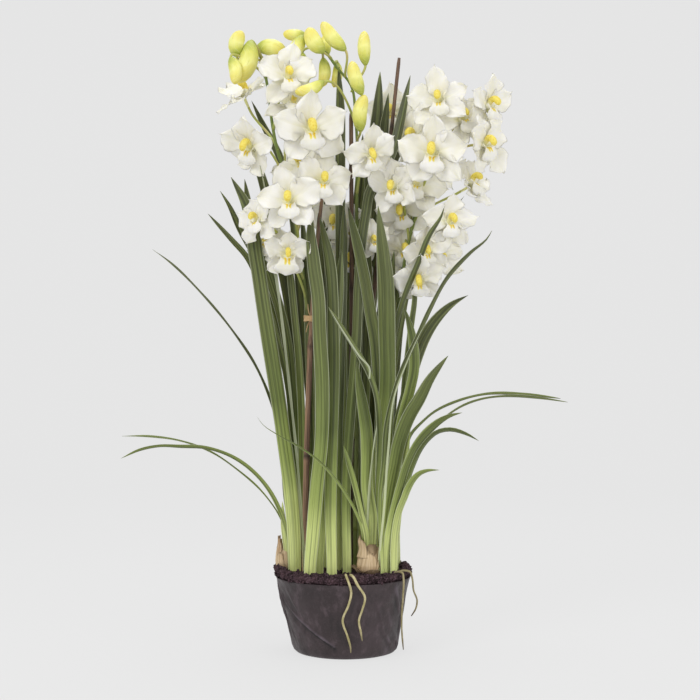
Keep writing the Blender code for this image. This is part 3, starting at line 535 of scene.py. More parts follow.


# ---------------------------------------------------------------------------------------------------------
# Leaves. Each one: full width, angle of the width from +X, twist to the tip, tone from pale to dark, and
# the route. The first point is where it leaves the compost or the bulb. The darker tones on the blades
# inside the clump are partly painted shade, and a negative tone makes a silvery blade, painted highlight
# all over.
# ---------------------------------------------------------------------------------------------------------

LEAVES = {
    "leaf_left_1": (24, 0, 6, 0.42, [(-80, -28), (-85, -30, 240), (-99, -34, 352), (-113, -38, 448),
        (-128, -40, 544), (-140, -42, 624), (-156, -42, 708), (-180, -40, 752)]),
    "leaf_left_2": (17, 10, 0, 0.5, [(-60, 8), (-80, 10, 240), (-86, 12, 400), (-98, 14, 512),
        (-124, 16, 602), (-142, 18, 652), (-154, 20, 698), (-163, 22, 756)]),
    "leaf_left_3": (20, 20, -10, 0.62, [(-58, 30), (-73, 32, 272), (-77, 34, 400), (-93, 36, 560),
        (-106, 37, 624), (-122, 38, 702), (-136, 38, 756), (-161, 36, 828)]),
    "leaf_left_4": (14, 24, 0, 0.62, [(-38, 46), (-60, 50, 400), (-75, 52, 562), (-91, 54, 724),
        (-107, 54, 792), (-136, 54, 850), (-154, 54, 888)]),
    "leaf_left_5": (8, 62, 0, 0.62, [(-84, 20), (-100, 20, 250), (-108, 18, 350), (-121, 18, 398),
        (-146, 16, 456), (-180, 14, 508), (-229, 10, 568), (-286, 6, 624), (-309, 4, 641)]),
    "leaf_left_6": (7, 10, 60, 0.62, [(-88, -21), (-99, -23, 212), (-131, -30, 272), (-174, -36, 309),
        (-221, -40, 326), (-260, -42, 328), (-292, -44, 329), (-323, -46, 323), (-352, -48, 310)]),
    "leaf_left_7": (12, 30, 0, 0.58, [(-70, 50), (-92, 56, 400), (-126, 60, 562), (-146, 62, 624),
        (-176, 62, 683), (-192, 62, 718), (-206, 62, 741)]),
    "leaf_front_1": (22, 0, 6, 0.55, [(-55, -74), (-51, -80, 186), (-44, -84, 269), (-37, -86, 341),
        (-36, -86, 431), (-40, -84, 509), (-42, -80, 557), (-50, -76, 619), (-54, -72, 675),
        (-51, -68, 702)]),
    "leaf_front_2": (19, 0, 4, 0.55, [(-21, -77), (-23, -74, 245), (-22, -72, 303), (-19, -68, 402),
        (-19, -64, 509), (-25, -60, 620), (-40, -56, 688)]),
    "leaf_front_3": (16, -10, 0, 0.58, [(2, -52), (1, -50, 262), (8, -44, 384), (17, -38, 494),
        (21, -32, 592), (26, -28, 656), (32, -14, 696), (40, -2, 736), (53, 4, 760), (68, 10, 784),
        (78, 15, 808), (87, 20, 843), (95, 24, 880), (105, 28, 925)]),
    "leaf_front_4": (5, 36, 0, 0.6, [(28, -52, 172), (28, -56, 184), (26, -66, 203), (17, -84, 229),
        (2, -98, 258), (-16, -106, 284), (-44, -110, 314), (-70, -108, 332), (-103, -104, 350),
        (-128, -98, 367), (-136, -96, 378)]),
    "leaf_front_5": (20, 4, 0, 0.5, [(40, -54, 172), (41, -59, 215), (34, -69, 266), (34, -74, 319),
        (33, -76, 350), (26, -78, 399), (21, -78, 430), (18, -78, 462)]),
    "leaf_front_6": (11, 42, 0, 0.62, [(46, -44, 172), (51, -47, 215), (51, -58, 262), (53, -70, 315),
        (53, -82, 363), (51, -90, 392), (48, -92, 412), (39, -96, 440), (14, -100, 486),
        (-9, -102, 522), (-26, -102, 546)]),
    "leaf_centre_1": (16, 0, 0, 0.66, [(-4, 2), (-5, 2, 400), (-8, 0, 600), (-8, -2, 790),
        (-8, -3, 860), (-11, -4, 936)]),
    "leaf_centre_2": (20, -12, 4, 0.5, [(44, -8), (52, -20, 280), (56, -30, 397), (52, -34, 445),
        (48, -36, 494), (39, -38, 543), (31, -38, 592), (14, -38, 667), (4, -38, 706)]),
    "leaf_centre_3": (27, 4, 0, 0.36, [(62, -24), (60, -36, 220), (62, -46, 363), (66, -50, 430),
        (65, -52, 509), (63, -54, 590), (57, -54, 655), (51, -52, 706)]),
    "leaf_centre_4": (23, -8, 0, 0.62, [(11, 47), (9, 52, 398), (12, 56, 562), (20, 60, 665),
        (34, 66, 759), (43, 68, 792), (51, 72, 851), (55, 76, 904), (57, 78, 940)]),
    "leaf_centre_5": (21, -8, 0, 0.62, [(28, 62), (31, 74, 397), (36, 84, 563), (42, 90, 647),
        (52, 96, 730), (74, 100, 788), (107, 104, 852), (123, 106, 875), (136, 108, 911),
        (144, 110, 938)]),
    "leaf_right_1": (9, 40, 0, 0.66, [(58, -70), (54, -80, 255), (59, -86, 305), (62, -90, 354),
        (71, -92, 399), (93, -92, 462), (108, -92, 493), (130, -92, 541), (160, -90, 594),
        (194, -88, 630), (220, -86, 653), (226, -86, 664)]),
    "leaf_right_2": (11, 30, 0, 0.55, [(74, -4), (72, -12, 400), (76, -24, 494), (89, -40, 551),
        (98, -50, 576), (114, -62, 615), (131, -76, 658), (149, -86, 688), (153, -88, 702)]),
    "leaf_right_3": (21, 20, 0, 0.62, [(80, 14), (79, 12, 288), (85, 10, 352), (98, 8, 404),
        (117, 8, 474), (128, 8, 500), (143, 8, 524), (173, 8, 554), (197, 8, 568)]),
    "leaf_right_4": (22, 14, 0, 0.6, [(66, -55), (63, -58, 200), (68, -60, 251), (76, -62, 293),
        (85, -64, 338), (101, -64, 379), (116, -64, 404), (132, -64, 434), (148, -64, 456),
        (160, -64, 471)]),
    "leaf_right_5": (13, 44, 0, 0.64, [(80, -42), (83, -42, 219), (92, -42, 250), (108, -41, 300),
        (118, -40, 322), (132, -40, 340), (145, -40, 350), (163, -40, 354), (189, -40, 348),
        (210, -40, 337)]),
    "leaf_right_6": (8, 56, 0, 0.68, [(80, 30), (84, 30, 248), (95, 30, 284), (112, 28, 316),
        (137, 26, 347), (157, 26, 367), (198, 22, 393), (224, 20, 401), (272, 18, 405), (314, 16, 402),
        (358, 16, 396)]),
    "leaf_back_1": (19, 184, 0, 0.6, [(-2, 76), (-6, 100, 400), (-16, 128, 640), (-30, 150, 800)]),
    "leaf_back_2": (14, 150, 0, 0.62, [(62, 72), (72, 92, 280), (86, 126, 450), (98, 160, 560),
        (108, 186, 620)]),
}
MORE_LEAVES = {
    "leaf_more_1": (10, 30, 0, 0.64, [(-78, 4), (-88, 4, 371), (-98, 3, 448), (-114, 2, 512),
        (-135, 1, 576), (-159, 0, 630), (-182, 0, 656), (-220, 0, 698)]),
    "leaf_more_2": (6, 70, 0, 0.62, [(-88, -15), (-100, -16, 205), (-133, -20, 255), (-168, -24, 287),
        (-215, -26, 319), (-262, -28, 336), (-310, -30, 343), (-353, -30, 344)]),
    "leaf_more_3": (12, 10, 0, 0.5, [(-70, -10), (-76, -10, 480), (-84, -8, 560), (-92, -6, 640)]),
    "leaf_more_4": (13, 10, 0, 0.55, [(-12, -30), (-12, -30, 300), (-8, -30, 420), (-4, -28, 560),
        (-2, -26, 710)]),
    "leaf_more_5": (16, 4, 0, 0.6, [(-41, -52), (-36, -54, 210), (-30, -54, 300), (-22, -52, 420),
        (-11, -48, 560), (-6, -44, 640)]),
    "leaf_more_6": (10, 20, 0, 0.45, [(76, -28), (88, -28, 340), (95, -28, 440), (104, -28, 514),
        (110, -28, 576), (104, -28, 608)]),
    "leaf_more_7": (15, 30, 0, 0.6, [(64, -62), (68, -68, 190), (77, -72, 236), (86, -74, 269),
        (96, -76, 303), (110, -76, 332), (127, -76, 353), (160, -76, 377), (181, -76, 383)]),
    "leaf_more_8": (15, 36, 0, 0.5, [(76, -62), (87, -70, 236), (92, -72, 248), (99, -74, 266),
        (106, -74, 278), (116, -74, 288), (126, -74, 292), (146, -74, 294)]),
    "leaf_more_9": (17, 10, 0, 0.3, [(76, -36), (80, -44, 300), (89, -46, 372), (102, -48, 420),
        (108, -48, 450), (107, -48, 490), (101, -48, 520), (91, -48, 550)]),
    "leaf_more_10": (9, 20, 0, 0.52, [(34, -58, 166), (33, -66, 192), (25, -72, 228), (14, -78, 275),
        (-3, -82, 333)]),
    "leaf_more_11": (15, 20, 0, 0.3, [(80, 8), (82, 8, 200), (90, 6, 270), (98, 5, 320),
        (104, 4, 352)]),
    "leaf_more_12": (16, -4, 0, 0.62, [(0, 24), (4, 26, 480), (12, 28, 640), (24, 30, 760),
        (28, 30, 830)]),
    "leaf_more_13": (10, -6, 0, 0.64, [(40, 40), (52, 46, 500), (80, 52, 700), (122, 58, 828),
        (140, 60, 897), (147, 60, 915), (155, 60, 930)]),
    "leaf_more_14": (7, 20, 0, 0.62, [(66, 46), (88, 50, 500), (128, 56, 650), (165, 58, 704),
        (182, 58, 717), (194, 58, 732)]),
    "leaf_more_15": (8, 50, 0, 0.66, [(78, 38), (95, 40, 302), (108, 41, 344), (125, 42, 362),
        (141, 42, 376), (182, 42, 396), (225, 42, 407), (292, 42, 407), (350, 42, 401)]),
    "leaf_more_16": (16, 200, 0, 0.6, [(28, 78), (34, 96, 380), (48, 116, 600), (66, 132, 740)]),
    "leaf_more_17": (15, 160, 0, 0.6, [(-38, 72), (-46, 92, 360), (-62, 112, 560), (-92, 132, 700)]),
    "leaf_more_18": (14, 10, 0, 0.66, [(-30, 6), (-34, 8, 400), (-40, 8, 600), (-44, 8, 700)]),
    "leaf_more_19": (15, -6, 0, 0.66, [(26, 6), (32, 4, 400), (36, 2, 560), (36, 0, 660)]),
    "leaf_more_20": (14, 0, 0, 0.66, [(-22, 30), (-26, 32, 400), (-30, 34, 620), (-30, 34, 760)]),
    "leaf_more_22": (9, 10, 0, 0.2, [(-90, -16), (-96, -18, 180), (-99, -20, 215), (-100, -20, 240)]),
    "leaf_more_23": (12, 0, 0, 0.66, [(-48, -6), (-52, -6, 300), (-58, -4, 450), (-62, -2, 600),
        (-70, 0, 700)]),
    "leaf_more_24": (22, -6, 0, 0.62, [(48, 60), (62, 66, 400), (92, 74, 640), (130, 82, 800),
        (160, 86, 880), (178, 88, 926)]),
    "leaf_more_25": (18, 4, 0, 0.62, [(14, 34), (28, 38, 400), (46, 44, 640), (58, 50, 800),
        (70, 54, 900)]),
    "leaf_more_26": (7, 60, 0, -0.5, [(-66, -36), (-72, -40, 250), (-88, -46, 420), (-104, -50, 560),
        (-118, -52, 660), (-126, -52, 730), (-134, -50, 770)]),
    "leaf_more_27": (4, 10, 0, -0.5, [(52, -66), (60, -97, 240), (66, -99, 326), (77, -100, 415),
        (92, -99, 455), (108, -97, 492), (128, -94, 530)]),
    "leaf_more_28": (3, 0, 0, -0.5, [(37, -104, 448), (22, -107, 470), (6, -108, 494),
        (-11, -108, 521), (-25, -107, 545)]),
    "leaf_more_29": (5, 30, 0, -0.5, [(34, -48), (36, -66, 240), (44, -80, 330), (50, -84, 370),
        (54, -86, 404)]),
    "leaf_more_21": (13, 4, 0, 0.6, [(52, 10), (60, 8, 400), (70, 6, 560), (78, 4, 640)]),
}


def leaf_width(share, width, length):
    """A blade's width against its full width; it narrows over the last few widths of its length."""
    start = min(max(1 - 5 * width / length, 0.62), 0.88) if width > 5 else 0.2
    rising = 0.86 + 0.14 * np.sin(np.minimum(share / 0.4, 1) * math.pi / 2)
    taper = np.cos(np.clip((share - start) / (1 - start), 0, 1) * math.pi / 2) ** 0.8
    return rising * np.maximum(taper, 0.02)


def leaf(name, width, angle, twist, tone, route, look, seed):
    """A strap blade, folded along its middle and pleated. A negative tone makes a silvery one, painted with
    the margin's highlight all over.
    """
    rng = np.random.default_rng(seed)
    points = rooted(route, LEAF_SINK)
    length = sum(np.linalg.norm(b - a) for a, b in zip(points, points[1:]))
    count = int(min(110, max(36, length / 8)))
    path = smooth_path(points, count)
    start = (math.cos(math.radians(angle)), math.sin(math.radians(angle)), 0)
    outward = (points[0][0], points[0][1], 0)
    inward = -1 if np.cross(start, (0, 0, 1)).dot(outward) > 0 else 1
    across, out = frames(path, start)
    share = np.linspace(0, 1, count + 1)
    wander = np.sin(share * rng.uniform(5, 8) + rng.uniform(0, 6)) * 7 * share
    turn = np.radians(twist * share + wander)[:, None]
    across, out = across * np.cos(turn) + out * np.sin(turn), out * np.cos(turn) - across * np.sin(turn)
    t = np.linspace(-1, 1, 25)
    waves = 1 + 0.03 * np.sin(share * 17 + rng.uniform(0, 6))
    half = width / 2 * leaf_width(share, width, length) * waves
    fold = 0.34 * half * (0.75 + 0.35 * np.sin(share * rng.uniform(3, 6) + rng.uniform(0, 6)))
    pleats = max(3, round(width / 4.5))
    drift = 0.4 * np.sin(share * 5 + rng.uniform(0, 6))[:, None]
    pleat = np.cos(t[None, :] * pleats * math.pi + drift) * (1 - t[None, :] ** 4)
    profile = np.abs(t) ** 1.35 - 0.10 * np.exp(-((t / 0.10) ** 2))
    ripple = 0.35 * np.sin(share * length / 14 + rng.uniform(0, 6))[:, None] * np.abs(t)[None, :] ** 4
    lift = inward * (fold[:, None] * profile[None, :] + 0.028 * half[:, None] * pleat)
    lift = lift + ripple * np.sign(t)[None, :]
    middle = path[:, None] + across[:, None] * (half[:, None] * t)[..., None]
    middle = middle + out[:, None] * lift[..., None]
    normal = unit(np.broadcast_to(out[:, None], middle.shape))
    thick = (0.9 - 0.45 * share)[:, None] * (1.15 - 0.55 * np.abs(t))[None, :]
    uv = joined(half[:, None] * t * MM + seed * 0.11, (share * length * MM)[:, None])
    build = Build("height", "tone", "side")
    # The material reads side for the pale margins, which are a painted highlight, so a silvery blade is
    # painted highlight all over.
    side = t[None, :] if tone > 0 else 1.0
    height = path[:, 2][:, None] * MM
    closed_sheet(build, middle, normal, thick, uv, height=height, tone=abs(tone), side=side)
    return build.object("blade_" + name, look)


# ---------------------------------------------------------------------------------------------------------
# Flower spikes, buds and flowers
# ---------------------------------------------------------------------------------------------------------

SPIKES = {
    "spike_left": (4.2, 2.2, [(-61, -5), (-59, -8, 420), (-60, -11, 540), (-74, -8, 640),
        (-89, -4, 744), (-108, -1, 796), (-117, 1, 840), (-123, 2, 890), (-134, 4, 950)]),
    "spike_centre": (4.2, 1.8, [(16, 12), (19, 10, 400), (18, 8, 700), (16, 4, 850), (8, -6, 904),
        (-14, -12, 930), (-38, -16, 958), (-60, -18, 964)]),
    "spike_right": (4.2, 2.2, [(54, 24), (66, 20, 360), (84, 14, 540), (104, 8, 665), (121, 6, 722),
        (142, 6, 770), (160, 10, 840), (178, 12, 880)]),
}
BUDS = [
    ("spike_left", 0.99, (-173, -14, 946), (-164, -22, 986), 12),
    ("spike_left", 0.96, (-181, -34, 942), (-174, -40, 898), 10),
    ("spike_left", 0.995, (-151, -12, 972), (-171, -22, 904), 15),
    ("spike_left", 0.985, (-143, 12, 966), (-95, 8, 956), 13),
    ("spike_centre", 0.995, (-64, 4, 986), (-100, 4, 987), 9),
    ("spike_centre", 0.99, (-68, -24, 978), (-93, -28, 943), 11),
    ("spike_centre", 0.975, (-70, 17, 960), (-82, 21, 930), 9),
    ("spike_centre", 0.95, (-34, -32, 950), (-58, -38, 988), 12.5),
    ("spike_centre", 0.93, (-28, 6, 954), (-31, 10, 988), 8),
    ("spike_centre", 0.91, (0, -28, 954), (-37, -32, 998), 11),
    ("spike_centre", 0.97, (-36, 3, 948), (-38, 6, 902), 9.5),
    ("spike_centre", 0.82, (-34, -54, 900), (-78, -72, 880), 9.5),
    ("spike_centre", 0.94, (-13, 8, 942), (-19, 11, 902), 8),
    ("spike_centre", 0.88, (32, -8, 934), (30, -12, 988), 10),
    ("spike_centre", 0.84, (26, -28, 884), (10, -32, 936), 11),
    ("spike_centre", 0.79, (24, -24, 826), (31, -26, 884), 11.5),
]
FLOWERS = {
    "flower_left_1": ("spike_left", 0.86, (-90, -48, 906), 14, 6, 8, 46),
    "flower_left_2": ("spike_left", 0.82, (-165, 38, 892), -46, 60, 10, 46),
    "flower_left_3": ("spike_left", 0.72, (-148, -52, 798), -32, -20, -10, 48),
    "flower_left_4": ("spike_left", 0.74, (-54, -80, 822), 12, -16, 6, 56),
    "flower_left_5": ("spike_left", 0.6, (-86, -98, 708), -4, -4, 4, 48),
    "flower_left_6": ("spike_left", 0.66, (-36, -58, 742), 10, -2, -8, 47),
    "flower_left_7": ("spike_left", 0.57, (-136, -66, 680), -34, 8, 14, 38),
    "flower_left_8": ("spike_left", 0.53, (-91, -62, 631), 8, -22, -4, 45),
    "flower_left_9": ("spike_left", 0.76, (-76, 56, 796), 172, -6, 0, 46),
    "flower_centre_1": ("spike_centre", 0.7, (40, -66, 784), 14, -24, 14, 42),
    "flower_centre_2": ("spike_centre", 0.56, (43, -6, 652), 18, 4, 8, 40),
    "flower_right_1": ("spike_right", 0.9, (148, -36, 872), -12, 2, 6, 50),
    "flower_right_2": ("spike_right", 0.96, (226, 0, 868), 50, 6, -6, 46),
    "flower_right_3": ("spike_right", 0.78, (136, -68, 786), -10, -10, 0, 54),
    "flower_right_4": ("spike_right", 0.7, (76, -34, 736), -16, -14, 8, 45),
    "flower_right_5": ("spike_right", 0.66, (162, -44, 680), 24, -2, 0, 43),
    "flower_right_6": ("spike_right", 0.6, (128, -40, 634), 6, -10, 8, 43),
    "flower_right_7": ("spike_right", 0.86, (219, -30, 804), 40, -6, 10, 46),
}
MORE_FLOWERS = {
    "flower_more_1": ("spike_right", 0.74, (200, 4, 744), 56, 26, -16, 44),
    "flower_more_2": ("spike_right", 0.56, (116, -36, 590), 0, -26, 8, 42),
    "flower_more_3": ("spike_right", 0.6, (92, 24, 640), 10, -10, -8, 44),
    "flower_more_4": ("spike_right", 0.66, (92, 16, 700), -14, -10, 10, 46),
    "flower_more_5": ("spike_right", 0.84, (78, 96, 872), -26, 2, 0, 46),
    "flower_more_6": ("spike_right", 0.8, (132, 66, 794), 166, -4, 0, 46),
    "flower_more_7": ("spike_centre", 0.6, (-16, 34, 686), -12, -8, 6, 46),
    "flower_more_8": ("spike_centre", 0.5, (6, 38, 626), 4, -12, 0, 44),
    "flower_more_9": ("spike_right", 0.88, (112, 28, 822), -34, 4, 0, 46),
    "flower_more_11": ("spike_left", 0.7, (-70, -22, 768), -18, 30, 24, 46),
    "flower_more_12": ("spike_left", 0.78, (-84, -20, 866), 24, 40, -14, 42),
    "flower_more_13": ("spike_right", 0.82, (186, -10, 846), 20, 16, 18, 44),
    "flower_more_14": ("spike_right", 0.72, (112, -6, 742), 8, 14, -20, 46),
    "flower_more_15": ("spike_right", 0.55, (148, 0, 626), 30, -4, 16, 40),
    "flower_more_16": ("spike_left", 0.58, (-122, -24, 650), -20, 4, -24, 40),
    "flower_more_10": ("spike_left", 0.66, (-70, 44, 716), 150, -8, 0, 44),
}
# The height of a stem's first node, and the steps of its path.
NODE_STEP = 0.085
STEM_STEPS = 120
STALK_RADIUS = 2.1
BRACT_THICK = 0.5
OVARY = 20
COLUMN_REACH = 46
# Flowers whose tepals stay a little shorter, because a leaf stands beside them.
CLOSE_TO_A_LEAF = {
    "flower_left_8": 0.8,
    "flower_centre_2": 0.78,
    "flower_right_1": 0.9,
    "flower_right_4": 0.94,
    "flower_right_6": 0.9,
}
# The lip's size against its flower's reach, and the one lip that hangs lower.
LIP = 0.52
LARGE_LIP = {"flower_left_8": 0.80}
# The upper sepal, the two lower ones and the two petals: turn from up and its side, length and width
# against the flower's reach, bend forward, curl, cup, and how far forward it starts.
TEPALS = [
    (0, 1, 1.04, 0.84, 0, 0.10, 0.12, -0.6),
    (136, -1, 1.0, 0.80, -0.08, 0, 0.10, -1.4),
    (136, 1, 1.0, 0.80, -0.08, 0, 0.10, -1.4),
    (67, -1, 1.02, 0.94, 0, 0, 0.10, 1.2),
    (67, 1, 1.02, 0.94, 0, 0, 0.10, 1.2),
]


def facing(azimuth, elevation):
    a, e = math.radians(azimuth), math.radians(elevation)
    return np.array((math.sin(a) * math.cos(e), -math.cos(a) * math.cos(e), math.sin(e)))


def flower_axes(azimuth, elevation, roll):
    forward = Vector(facing(azimuth, elevation))
    right = Vector((0, 0, 1)).cross(forward).normalized()
    up = forward.cross(right)
    turn = Matrix.Rotation(math.radians(roll), 3, forward)
    return np.array((turn @ right, turn @ up, forward))


def tepal(build, rng, direction, length, width, lean, curl, cup, lift):
    """One broad waxy tepal in the flower's own frame, at an angle from its right."""
    u, v = patch(29, 19)
    length = length * rng.uniform(0.90, 1.08)
    width = width * rng.uniform(0.84, 1.12)
    outline = np.maximum(np.sin(u ** rng.uniform(0.94, 1.22) * math.pi), 0) ** rng.uniform(0.50, 0.85)
    outline = np.maximum(outline, 0.42 * (1 - u) ** 0.5)
    outline = np.maximum(outline, 0.07)
    wave = rng.uniform(0, 6.28, 8)
    half = width / 2 * outline * (1 + rng.uniform(-0.16, 0.16) * v)
    notches = 0.060 * np.sin(u * 14 + wave[4] + 1.5 * v) + 0.035 * np.sin(u * 29 + wave[5] + 3 * v)
    half = half * (1 + notches)
    run = length * (u + 0.06 * np.exp(-((v / 0.30) ** 2)) * u**6)
    rise = lean * run + curl * length * u**2.2
    rise = rise + cup * width * v**2 * np.sin(u * math.pi) ** 0.7
    rise = rise - 0.035 * width * np.exp(-((v / 0.13) ** 2)) * (1 - u) ** 0.5
    ruffle = 0.110 * width * np.sin(u * 7.5 + wave[0] + v * 1.9) * np.abs(v) ** 1.4
    rise = rise + ruffle * np.clip(u * 1.5, 0, 1)
    rise = rise + 0.055 * width * np.sin(u * 15 + wave[1] + 2.5 * v) * np.abs(v) ** 2.2
    rise = rise + 0.065 * length * np.sin(v * 2.6 + wave[2]) * u**1.5
    rise = rise + rng.uniform(-0.30, 0.30) * half * v * u
    a = math.radians(direction)
    side = half * v + rng.uniform(-0.18, 0.18) * run * u
    reach = run + 2.5
    x = reach * math.cos(a) - side * math.sin(a)
    y = reach * math.sin(a) + side * math.cos(a)
    middle = joined(x, y, rise + lift)
    thick = 0.8 * (1.1 - 0.6 * np.abs(v)) * (1.2 - 0.6 * u)
    uv = joined(side * MM + direction, run * MM)
    glow = 0.5 * np.clip(1 - u / 0.5, 0, 1) ** 1.3 * (1 - 0.4 * v**2)
    glow = glow + 0.24 * np.exp(-((v / 0.08) ** 2)) * (1 - u)
    glow = glow + 0.14 * np.clip(np.sin(v * 9 + wave[3]), 0, 1) * u
    closed_sheet(build, middle, normals(middle), thick, uv, warm=glow, yellow=0.0)


def lip(build, rng, size):
    """The lip: side lobes that stand beside the column, a frilled middle lobe, and a yellow crest."""
    u, v = patch(33, 25)
    stations = [0, 0.15, 0.38, 0.52, 0.62, 0.74, 0.86, 0.95, 1.0]
    width = size * np.interp(u, stations, [0.20, 0.46, 0.62, 0.46, 0.50, 0.68, 0.72, 0.54, 0.16])
    stations = [0, 0.25, 0.5, 0.68, 0.82, 1.0]
    forward = size * np.interp(u, stations, [0, 0.26, 0.52, 0.66, 0.68, 0.58])
    drop = -size * np.interp(u, stations, [0.06, 0.20, 0.28, 0.44, 0.70, 1.08])
    stand = np.clip(1 - np.abs(u - 0.36) / 0.26, 0, 1) ** 0.7
    frill = 0.075 * size * np.sin(v * 7 + rng.uniform(0, 6) + 3 * u)
    frill = frill * np.clip((u - 0.55) / 0.3, 0, 1) * np.abs(v) ** 1.5
    x = width * v * (1 - 0.32 * stand * v**2)
    y = drop + size * 0.42 * stand * v**2 + frill * 0.7
    z = forward + frill - 0.22 * size * v**2 * np.clip((u - 0.55) / 0.4, 0, 1)
    ridges = np.exp(-(((np.abs(v) - 0.20) / 0.09) ** 2))
    crest = 0.085 * size * ridges * np.exp(-(((u - 0.46) / 0.18) ** 4))
    middle = joined(x, y + crest, z + 0.6 * crest)
    thick = 0.7 * (1.1 - 0.5 * np.abs(v))
    uv = joined(x * MM, forward * MM)
    warm = 0.65 * np.clip(1 - u / 0.6, 0, 1)
    gold = np.exp(-(((np.abs(v) - 0.20) / 0.12) ** 2)) * np.exp(-(((u - 0.48) / 0.20) ** 4))
    closed_sheet(build, middle, normals(middle), thick, uv, warm=warm, yellow=gold)


def flower(name, heart, azimuth, elevation, roll, reach, look, seed):
    rng = np.random.default_rng(seed)
    reach = reach * CLOSE_TO_A_LEAF.get(name, 1.0)
    build = Build("warm", "yellow")
    spread = rng.uniform(-11, 11, 5)
    # Flowers that look far to one side are still half closed.
    close = 0.10 + 0.50 * max(0, abs(azimuth) - 35) / 55
    open_out = close + rng.uniform(-0.18, 0.26, 5)
    bend = rng.uniform(-0.20, 0.12, 5)
    for k, (angle, side, length, width, lean, curl, cup, lift) in enumerate(TEPALS):
        direction = 90 + side * (angle + spread[k])
        size = (reach * length, reach * width)
        tepal(build, rng, direction, *size, open_out[k] + lean, bend[k] + curl, cup, lift)
    lip(build, rng, reach * LARGE_LIP.get(name, LIP))
    # The column arches forward over the lip, widens into a hood and ends in the anther cap.
    path = smooth_path([(0, -1, -1), (0, 6, 5), (0, 11, 11), (0, 10.5, 17), (0, 5, 22), (0, -1, 24)], 20)
    share = np.linspace(0, 1, 21)
    radius = np.interp(share, [0, 0.25, 0.55, 0.78, 0.92, 1], [4.0, 4.4, 5.2, 5.6, 4.6, 1.2])
    gold = np.interp(share, [0, 0.30, 0.55, 1], [0.05, 0.30, 0.60, 0.60])[:, None]
    grown = reach / COLUMN_REACH
    tube(build, path * grown, radius * grown, 16, (1, 0, 0), warm=0.6, yellow=gold)
    # The ovary behind, green where it meets its stalk.
    path = smooth_path([(0, 0, 0), (0, -0.6, -8), (0, 0, -OVARY)], 10)
    share = np.linspace(0, 1, 11)
    girth = np.interp(share, [0, 0.15, 0.5, 1], [3.4, 2.4, 2.3, 2.0])
    warm = np.interp(share, [0, 0.4, 1], [0.5, 0.9, 1.0])[:, None]
    tube(build, path, girth, 10, (1, 0, 0), warm=warm)
    axes = flower_axes(azimuth, elevation, roll)
    build.points = [p @ axes + np.array(heart) for p in build.points]
    return build.object("bloom_" + name, look)


def part_way(path, share):
    at = share * (len(path) - 1)
    whole = min(int(at), len(path) - 2)
    return path[whole] + (path[whole + 1] - path[whole]) * (at - whole)


def stalk(build, stem, share, end, direction):
    """It rises out of the stem and bows over, to meet its end along direction. A bract is at its foot."""
    start = part_way(stem, share)
    span = np.linalg.norm(end - start)
    leave = (end - start) * 0.6 + np.array((0, 0, 0.5 * span))
    arrive = direction * 0.9 * span
    t = np.linspace(0, 1, 25)[:, None]
    path = start * (2 * t**3 - 3 * t**2 + 1) + leave * (t**3 - 2 * t**2 + t)
    path = path + end * (3 * t**2 - 2 * t**3) + arrive * (t**3 - t**2)
    path[-1] = end + direction * 1.5
    along = np.linspace(0, 1, len(path))
    girth = STALK_RADIUS * np.interp(along, [0, 0.12, 0.5, 1], [1.35, 1.0, 0.90, 1.0])
    pale = np.interp(along, [0, 0.3, 1], [0.45, 0.75, 1.0])[:, None]
    tube(build, path, girth, 10, (0, 1, 0.1), pale=pale, height=path[:, 2][:, None] * MM)
    u, v = patch(7, 5)
    axis = unit(path[4] - path[0])
    side = unit(np.cross(axis, (0, 1, 0.01)))
    out = np.cross(side, axis)
    width = 2.6 * (1 - u**1.5) + 0.15
    middle = path[0] + out * (STALK_RADIUS + 0.4) + axis * (11 * u[..., None])
    middle = middle + side * (width * v)[..., None] - out * (1.2 * v**2)[..., None]
    normal = np.broadcast_to(out, middle.shape)
    closed_sheet(build, middle, normal, BRACT_THICK, pale=0.75, height=middle[..., 2] * MM)


def bract(build, stem, girth, k):
    """A sheath that clasps the stem above its k-th node and narrows to a tip."""
    at = int(k * NODE_STEP * STEM_STEPS)
    part = stem[at : at + 8]
    across, out = frames(part, (0, 1, 0))
    u = np.linspace(0, 1, 8)[:, None]
    centre = k * 2.4
    spread = np.linspace(-1.9, 1.9, 11)[None, :]
    angle = centre + spread * (1 - 0.85 * u**1.6)
    radius = girth[at : at + 8, None] + 0.35 + 1.1 * u**2
    ray = across[:, None] * np.cos(angle)[..., None] - out[:, None] * np.sin(angle)[..., None]
    middle = part[:, None] + ray * radius[..., None]
    normal = unit(middle - part[:, None])
    pale = 0.10 + 0.35 * np.clip((middle[..., 2] - 520) / 120, 0, 1)
    closed_sheet(build, middle, normal, BRACT_THICK, pale=pale, height=middle[..., 2] * MM)


def spikes(look, bud_skin):
    for name, (foot, top, route) in SPIKES.items():
        points = rooted(route, STEM_SINK)
        stem = smooth_path(points, STEM_STEPS)
        rough = smooth_path([points[0] - (0, 0, 10), *points[1:]], 23)
        share = np.linspace(0, 1, len(stem))
        girth = foot + (top - foot) * share
        for k in range(1, 9):
            girth = girth + 0.5 * np.exp(-(((share - k * NODE_STEP) / 0.006) ** 2))
        build = Build("pale", "height")
        tube(build, stem, girth, 16, (0, 1, 0), height=stem[:, 2][:, None] * MM)
        for k in range(1, 7):
            bract(build, stem, girth, k)
        for owner, at, heart, azimuth, elevation, _, _ in {**FLOWERS, **MORE_FLOWERS}.values():
            if owner == name:
                direction = facing(azimuth, elevation)
                stalk(build, rough, at, np.array(heart) - direction * OVARY, direction)
        buds = Build("along", "seam")
        for k, (owner, at, foot_at, tip, radius) in enumerate(BUDS):
            if owner == name:
                foot_at, tip = np.array(foot_at, dtype=float), np.array(tip, dtype=float)
                direction = unit(tip - foot_at)
                stalk(build, rough, at, foot_at + direction * 2, direction)
                bud(buds, foot_at, tip, radius, k)
        place(build.object("stem_" + name, look), name, slot="stem")
        if buds.count:
            place(buds.object("buds_" + name, bud_skin), slot="stem")


